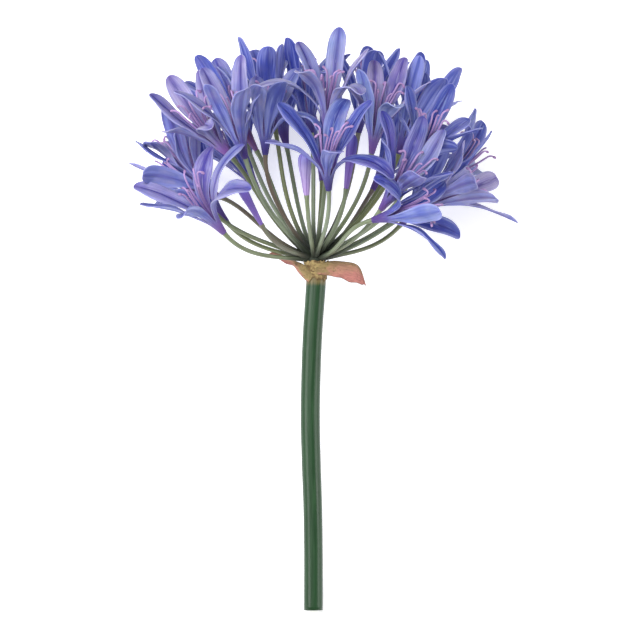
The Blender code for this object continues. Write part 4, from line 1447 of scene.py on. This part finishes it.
def add_stem(look):
    shape = Shape()
    bends = [metres((aside, along, 0)) for along, aside in SCAPE_BENDS]
    rings, centres = [], []
    for along in shares(STEM_STEPS):
        middle = catmull(bends, along)
        share = -middle.y / SCAPE_LENGTH
        radius = lerp(STEM_TOP, STEM_FOOT, share)
        # It is fuller than its solid, and moves forward by as much so that it still lies on the surface
        forward = radius - lerp(SCAPE_RADIUS, SCAPE_RADIUS * SCAPE_TAPER, share)
        centre = middle + Vector((STEM_ASIDE, 0, forward))
        ring = []
        for around, angle in turns(STEM_SIDES):
            # The marks start again underneath, where the step doesn't show
            outward = Matrix.Rotation(math.pi / 2, 3, "X") @ flat(angle - math.pi / 2)
            uneven = noise.noise(Vector((outward.x * 1.5, centre.y * 25, outward.z * 1.5)))
            place = centre + outward * (radius * (1 + STEM_UNEVENNESS * uneven))
            ring.append(shape.point(place, (along, around, 1 - share)))
        rings.append(ring)
        centres.append(centre)
    shape.fan(rings[0], shape.point(centres[0], (0, 0, 0)), True)
    shape.skin(rings, True)
    # The cut end grows inward from the last ring
    cut = [ring]
    for share, rise in CUT_SHAPE:
        places = []
        for index, (around, _) in zip(cut[-1], turns(STEM_SIDES)):
            spoke = shape.points[index] - centre
            place = centre + Vector((spoke.x, 0, spoke.z)).normalized() * STEM_FOOT * share
            places.append(shape.point(place + UP * rise * MM, (0, around, 1 - share)))
        cut.append(places)
    shape.skin(cut, True, 1)
    shape.fan(cut[-1][::-1], shape.point(centre + UP * rise * MM, (0, 0, 1)), True, 1)
    put(shape, "stem", ["scape"], [stem_finish(look), cut_finish(look)])


def bract(sheet, look):
    """A bract as a smooth sheet through its rows, creased like dry paper."""
    shape = Shape()
    rows = [[metres(point) for point in row] for row in sheet]
    rows[-1] = rows[-1] * 3
    lines = []
    for along in shares(BRACT_ROWS):
        upper, middle, lower = (catmull([row[column] for row in rows], along) for column in range(3))
        line = []
        for column in shares(BRACT_COLUMNS):
            across = 2 * column - 1
            place = (upper * (across - 1) + lower * (across + 1)) * across / 2 + middle * (1 - across**2)
            crease = noise.noise(Vector((across * 2.5, along * 5, 0))) + 0.5 * noise.noise(place * 700)
            curl = noise.noise(Vector((along * 9, 7, 0))) * max(across, 0) ** 2
            place = place + (FRONT * crease + UP * BRACT_CURL * curl) * look.crease * smooth(along * 5)
            line.append(shape.point(place, (across, along, 0)))
        lines.append(line)
    shape.skin(lines)
    return shape


def add_bracts(look):
    finish = bract_finish(look)
    for side, sheet in (("right", RIGHT_BRACT), ("left", LEFT_BRACT)):
        piece = put(bract(sheet, look), "papery_bract_" + side, ["bract_" + side], [finish])
        thicken(piece, look.thickness, offset=0)


def add_collar(look):
    """The bracts' dried bases: a thin sleeve with a ragged lower edge."""
    shape = Shape()
    rings = []
    for down in shares(COLLAR_ROWS):
        ring = []
        for around, angle in turns(COLLAR_SIDES):
            outward = Vector((math.cos(angle), 0, math.sin(angle)))
            ragged = noise.noise(outward * 2.2) + 0.6 * noise.noise(outward * 7)
            height = lerp(COLLAR_TOP + ragged, COLLAR_FOOT + 2 * ragged, down) * MM
            flutter = COLLAR_FLUTTER * noise.noise(outward * 4 + UP * down * 3)
            gap = COLLAR_GAP + flutter + COLLAR_SPREAD * smooth(height / MM / 2 + 1)
            place = outward * (STEM_TOP + gap * MM) + UP * height + COLLAR_CENTRE
            ring.append(shape.point(place, (around, down, 0)))
        rings.append(ring)
    shape.skin(rings, True)
    thicken(put(shape, "collar", [], [collar_finish(look)]), look.thickness)


def add_lights(look):
    """Soft boxes in front of the head and to both sides of it."""
    for name, strength, place in (
        ("key", look.key, (-0.25, 0.1, 1.3)),
        ("left", look.left, (-1.05, -0.25, 0.78)),
        ("right", look.right, (1.2, -0.2, 0.52)),
    ):
        box = bpy.data.lights.new(name, "AREA")
        box.energy = strength
        box.size = LIGHT_SIZE
        facing = (LIT_PLACE - Vector(place)).to_track_quat("-Z", "Y").to_matrix().to_4x4()
        linked(name, box).matrix_world = Matrix.Translation(place) @ facing
    world = bpy.data.worlds.new("studio")
    world.use_nodes = True
    sky = world.node_tree.nodes["Background"]
    sky.inputs["Color"].default_value = (1, 1, 1, 1)
    sky.inputs["Strength"].default_value = look.sky
    bpy.context.scene.world = world


def add_camera(look):
    """A long lens straight at the side of the umbel that shows."""
    lens = bpy.data.cameras.new("camera")
    lens.sensor_width = SENSOR
    lens.lens = SENSOR * look.distance / VIEW_WIDTH
    camera = linked("camera", lens)
    camera.matrix_world = lying_frame() @ Matrix.Translation((*VIEW_CENTRE, look.distance))
    bpy.context.scene.camera = camera


def add_stage(look):
    """The floor that the flower lies on, the lights and the camera."""
    shape = Shape()
    corners = [Vector((x, y, 0)) * FLOOR_REACH for x, y in ((-1, -1), (1, -1), (1, 1), (-1, 1))]
    shape.face([shape.point(corner, (0, 0, 0)) for corner in corners])
    floor = linked("floor", shape.mesh("floor"))
    floor.data.materials.append(floor_finish(look))
    add_lights(look)
    add_camera(look)
    bpy.context.scene.view_settings.view_transform = "Standard"


class AGAPANTHUS_OT_petals(bpy.types.Operator):
    """Add the funnel and petals of every floret"""

    bl_idname = "agapanthus.petals"
    bl_label = "Petals"

    def execute(self, context):
        add_petals(context.scene.agapanthus_petals)
        return {"FINISHED"}


class AGAPANTHUS_OT_stamens(bpy.types.Operator):
    """Add the filaments, anthers and style of every floret"""

    bl_idname = "agapanthus.stamens"
    bl_label = "Stamens"

    def execute(self, context):
        add_stamens(context.scene.agapanthus_stamens)
        return {"FINISHED"}


class AGAPANTHUS_OT_buds(bpy.types.Operator):
    """Add the closed buds"""

    bl_idname = "agapanthus.buds"
    bl_label = "Buds"

    def execute(self, context):
        add_buds(context.scene.agapanthus_buds)
        return {"FINISHED"}


class AGAPANTHUS_OT_stalks(bpy.types.Operator):
    """Add the stalks and the knuckle that they grow from"""

    bl_idname = "agapanthus.stalks"
    bl_label = "Stalks"

    def execute(self, context):
        add_stalks(context.scene.agapanthus_stalks)
        return {"FINISHED"}


class AGAPANTHUS_OT_stem(bpy.types.Operator):
    """Add the stem with its cut end"""

    bl_idname = "agapanthus.stem"
    bl_label = "Stem"

    def execute(self, context):
        add_stem(context.scene.agapanthus_stem)
        return {"FINISHED"}


class AGAPANTHUS_OT_bracts(bpy.types.Operator):
    """Add the two papery bracts"""

    bl_idname = "agapanthus.bracts"
    bl_label = "Bracts"

    def execute(self, context):
        add_bracts(context.scene.agapanthus_bracts)
        return {"FINISHED"}


class AGAPANTHUS_OT_collar(bpy.types.Operator):
    """Add the bracts' dried bases round the stem"""

    bl_idname = "agapanthus.collar"
    bl_label = "Collar"

    def execute(self, context):
        add_collar(context.scene.agapanthus_bracts)
        return {"FINISHED"}


class AGAPANTHUS_OT_stage(bpy.types.Operator):
    """Add the floor, the lights and the camera"""

    bl_idname = "agapanthus.stage"
    bl_label = "Stage"

    def execute(self, context):
        add_stage(context.scene.agapanthus_stage)
        return {"FINISHED"}


OPERATORS = (
    AGAPANTHUS_OT_petals,
    AGAPANTHUS_OT_stamens,
    AGAPANTHUS_OT_buds,
    AGAPANTHUS_OT_stalks,
    AGAPANTHUS_OT_stem,
    AGAPANTHUS_OT_bracts,
    AGAPANTHUS_OT_collar,
    AGAPANTHUS_OT_stage,
)


class VIEW3D_PT_agapanthus(bpy.types.Panel):
    """Lists the flower's pieces in the sidebar"""

    bl_label = "Agapanthus"
    bl_space_type = "VIEW_3D"
    bl_region_type = "UI"
    bl_category = "Agapanthus"

    def draw(self, context):
        for operator in OPERATORS:
            self.layout.operator(operator.bl_idname)


def register():
    for kind in (*SETTINGS.values(), *OPERATORS, VIEW3D_PT_agapanthus):
        bpy.utils.register_class(kind)
    for name, kind in SETTINGS.items():
        setattr(bpy.types.Scene, name, PointerProperty(type=kind))


def unregister():
    for name in SETTINGS:
        delattr(bpy.types.Scene, name)
    for kind in (VIEW3D_PT_agapanthus, *OPERATORS, *SETTINGS.values()):
        bpy.utils.unregister_class(kind)


def main():
    register()
    bpy.ops.agapanthus.petals()
    bpy.ops.agapanthus.stamens()
    bpy.ops.agapanthus.buds()
    bpy.ops.agapanthus.stalks()
    bpy.ops.agapanthus.stem()
    bpy.ops.agapanthus.bracts()
    bpy.ops.agapanthus.collar()
    bpy.ops.agapanthus.stage()


if __name__ == "__main__":
    main()
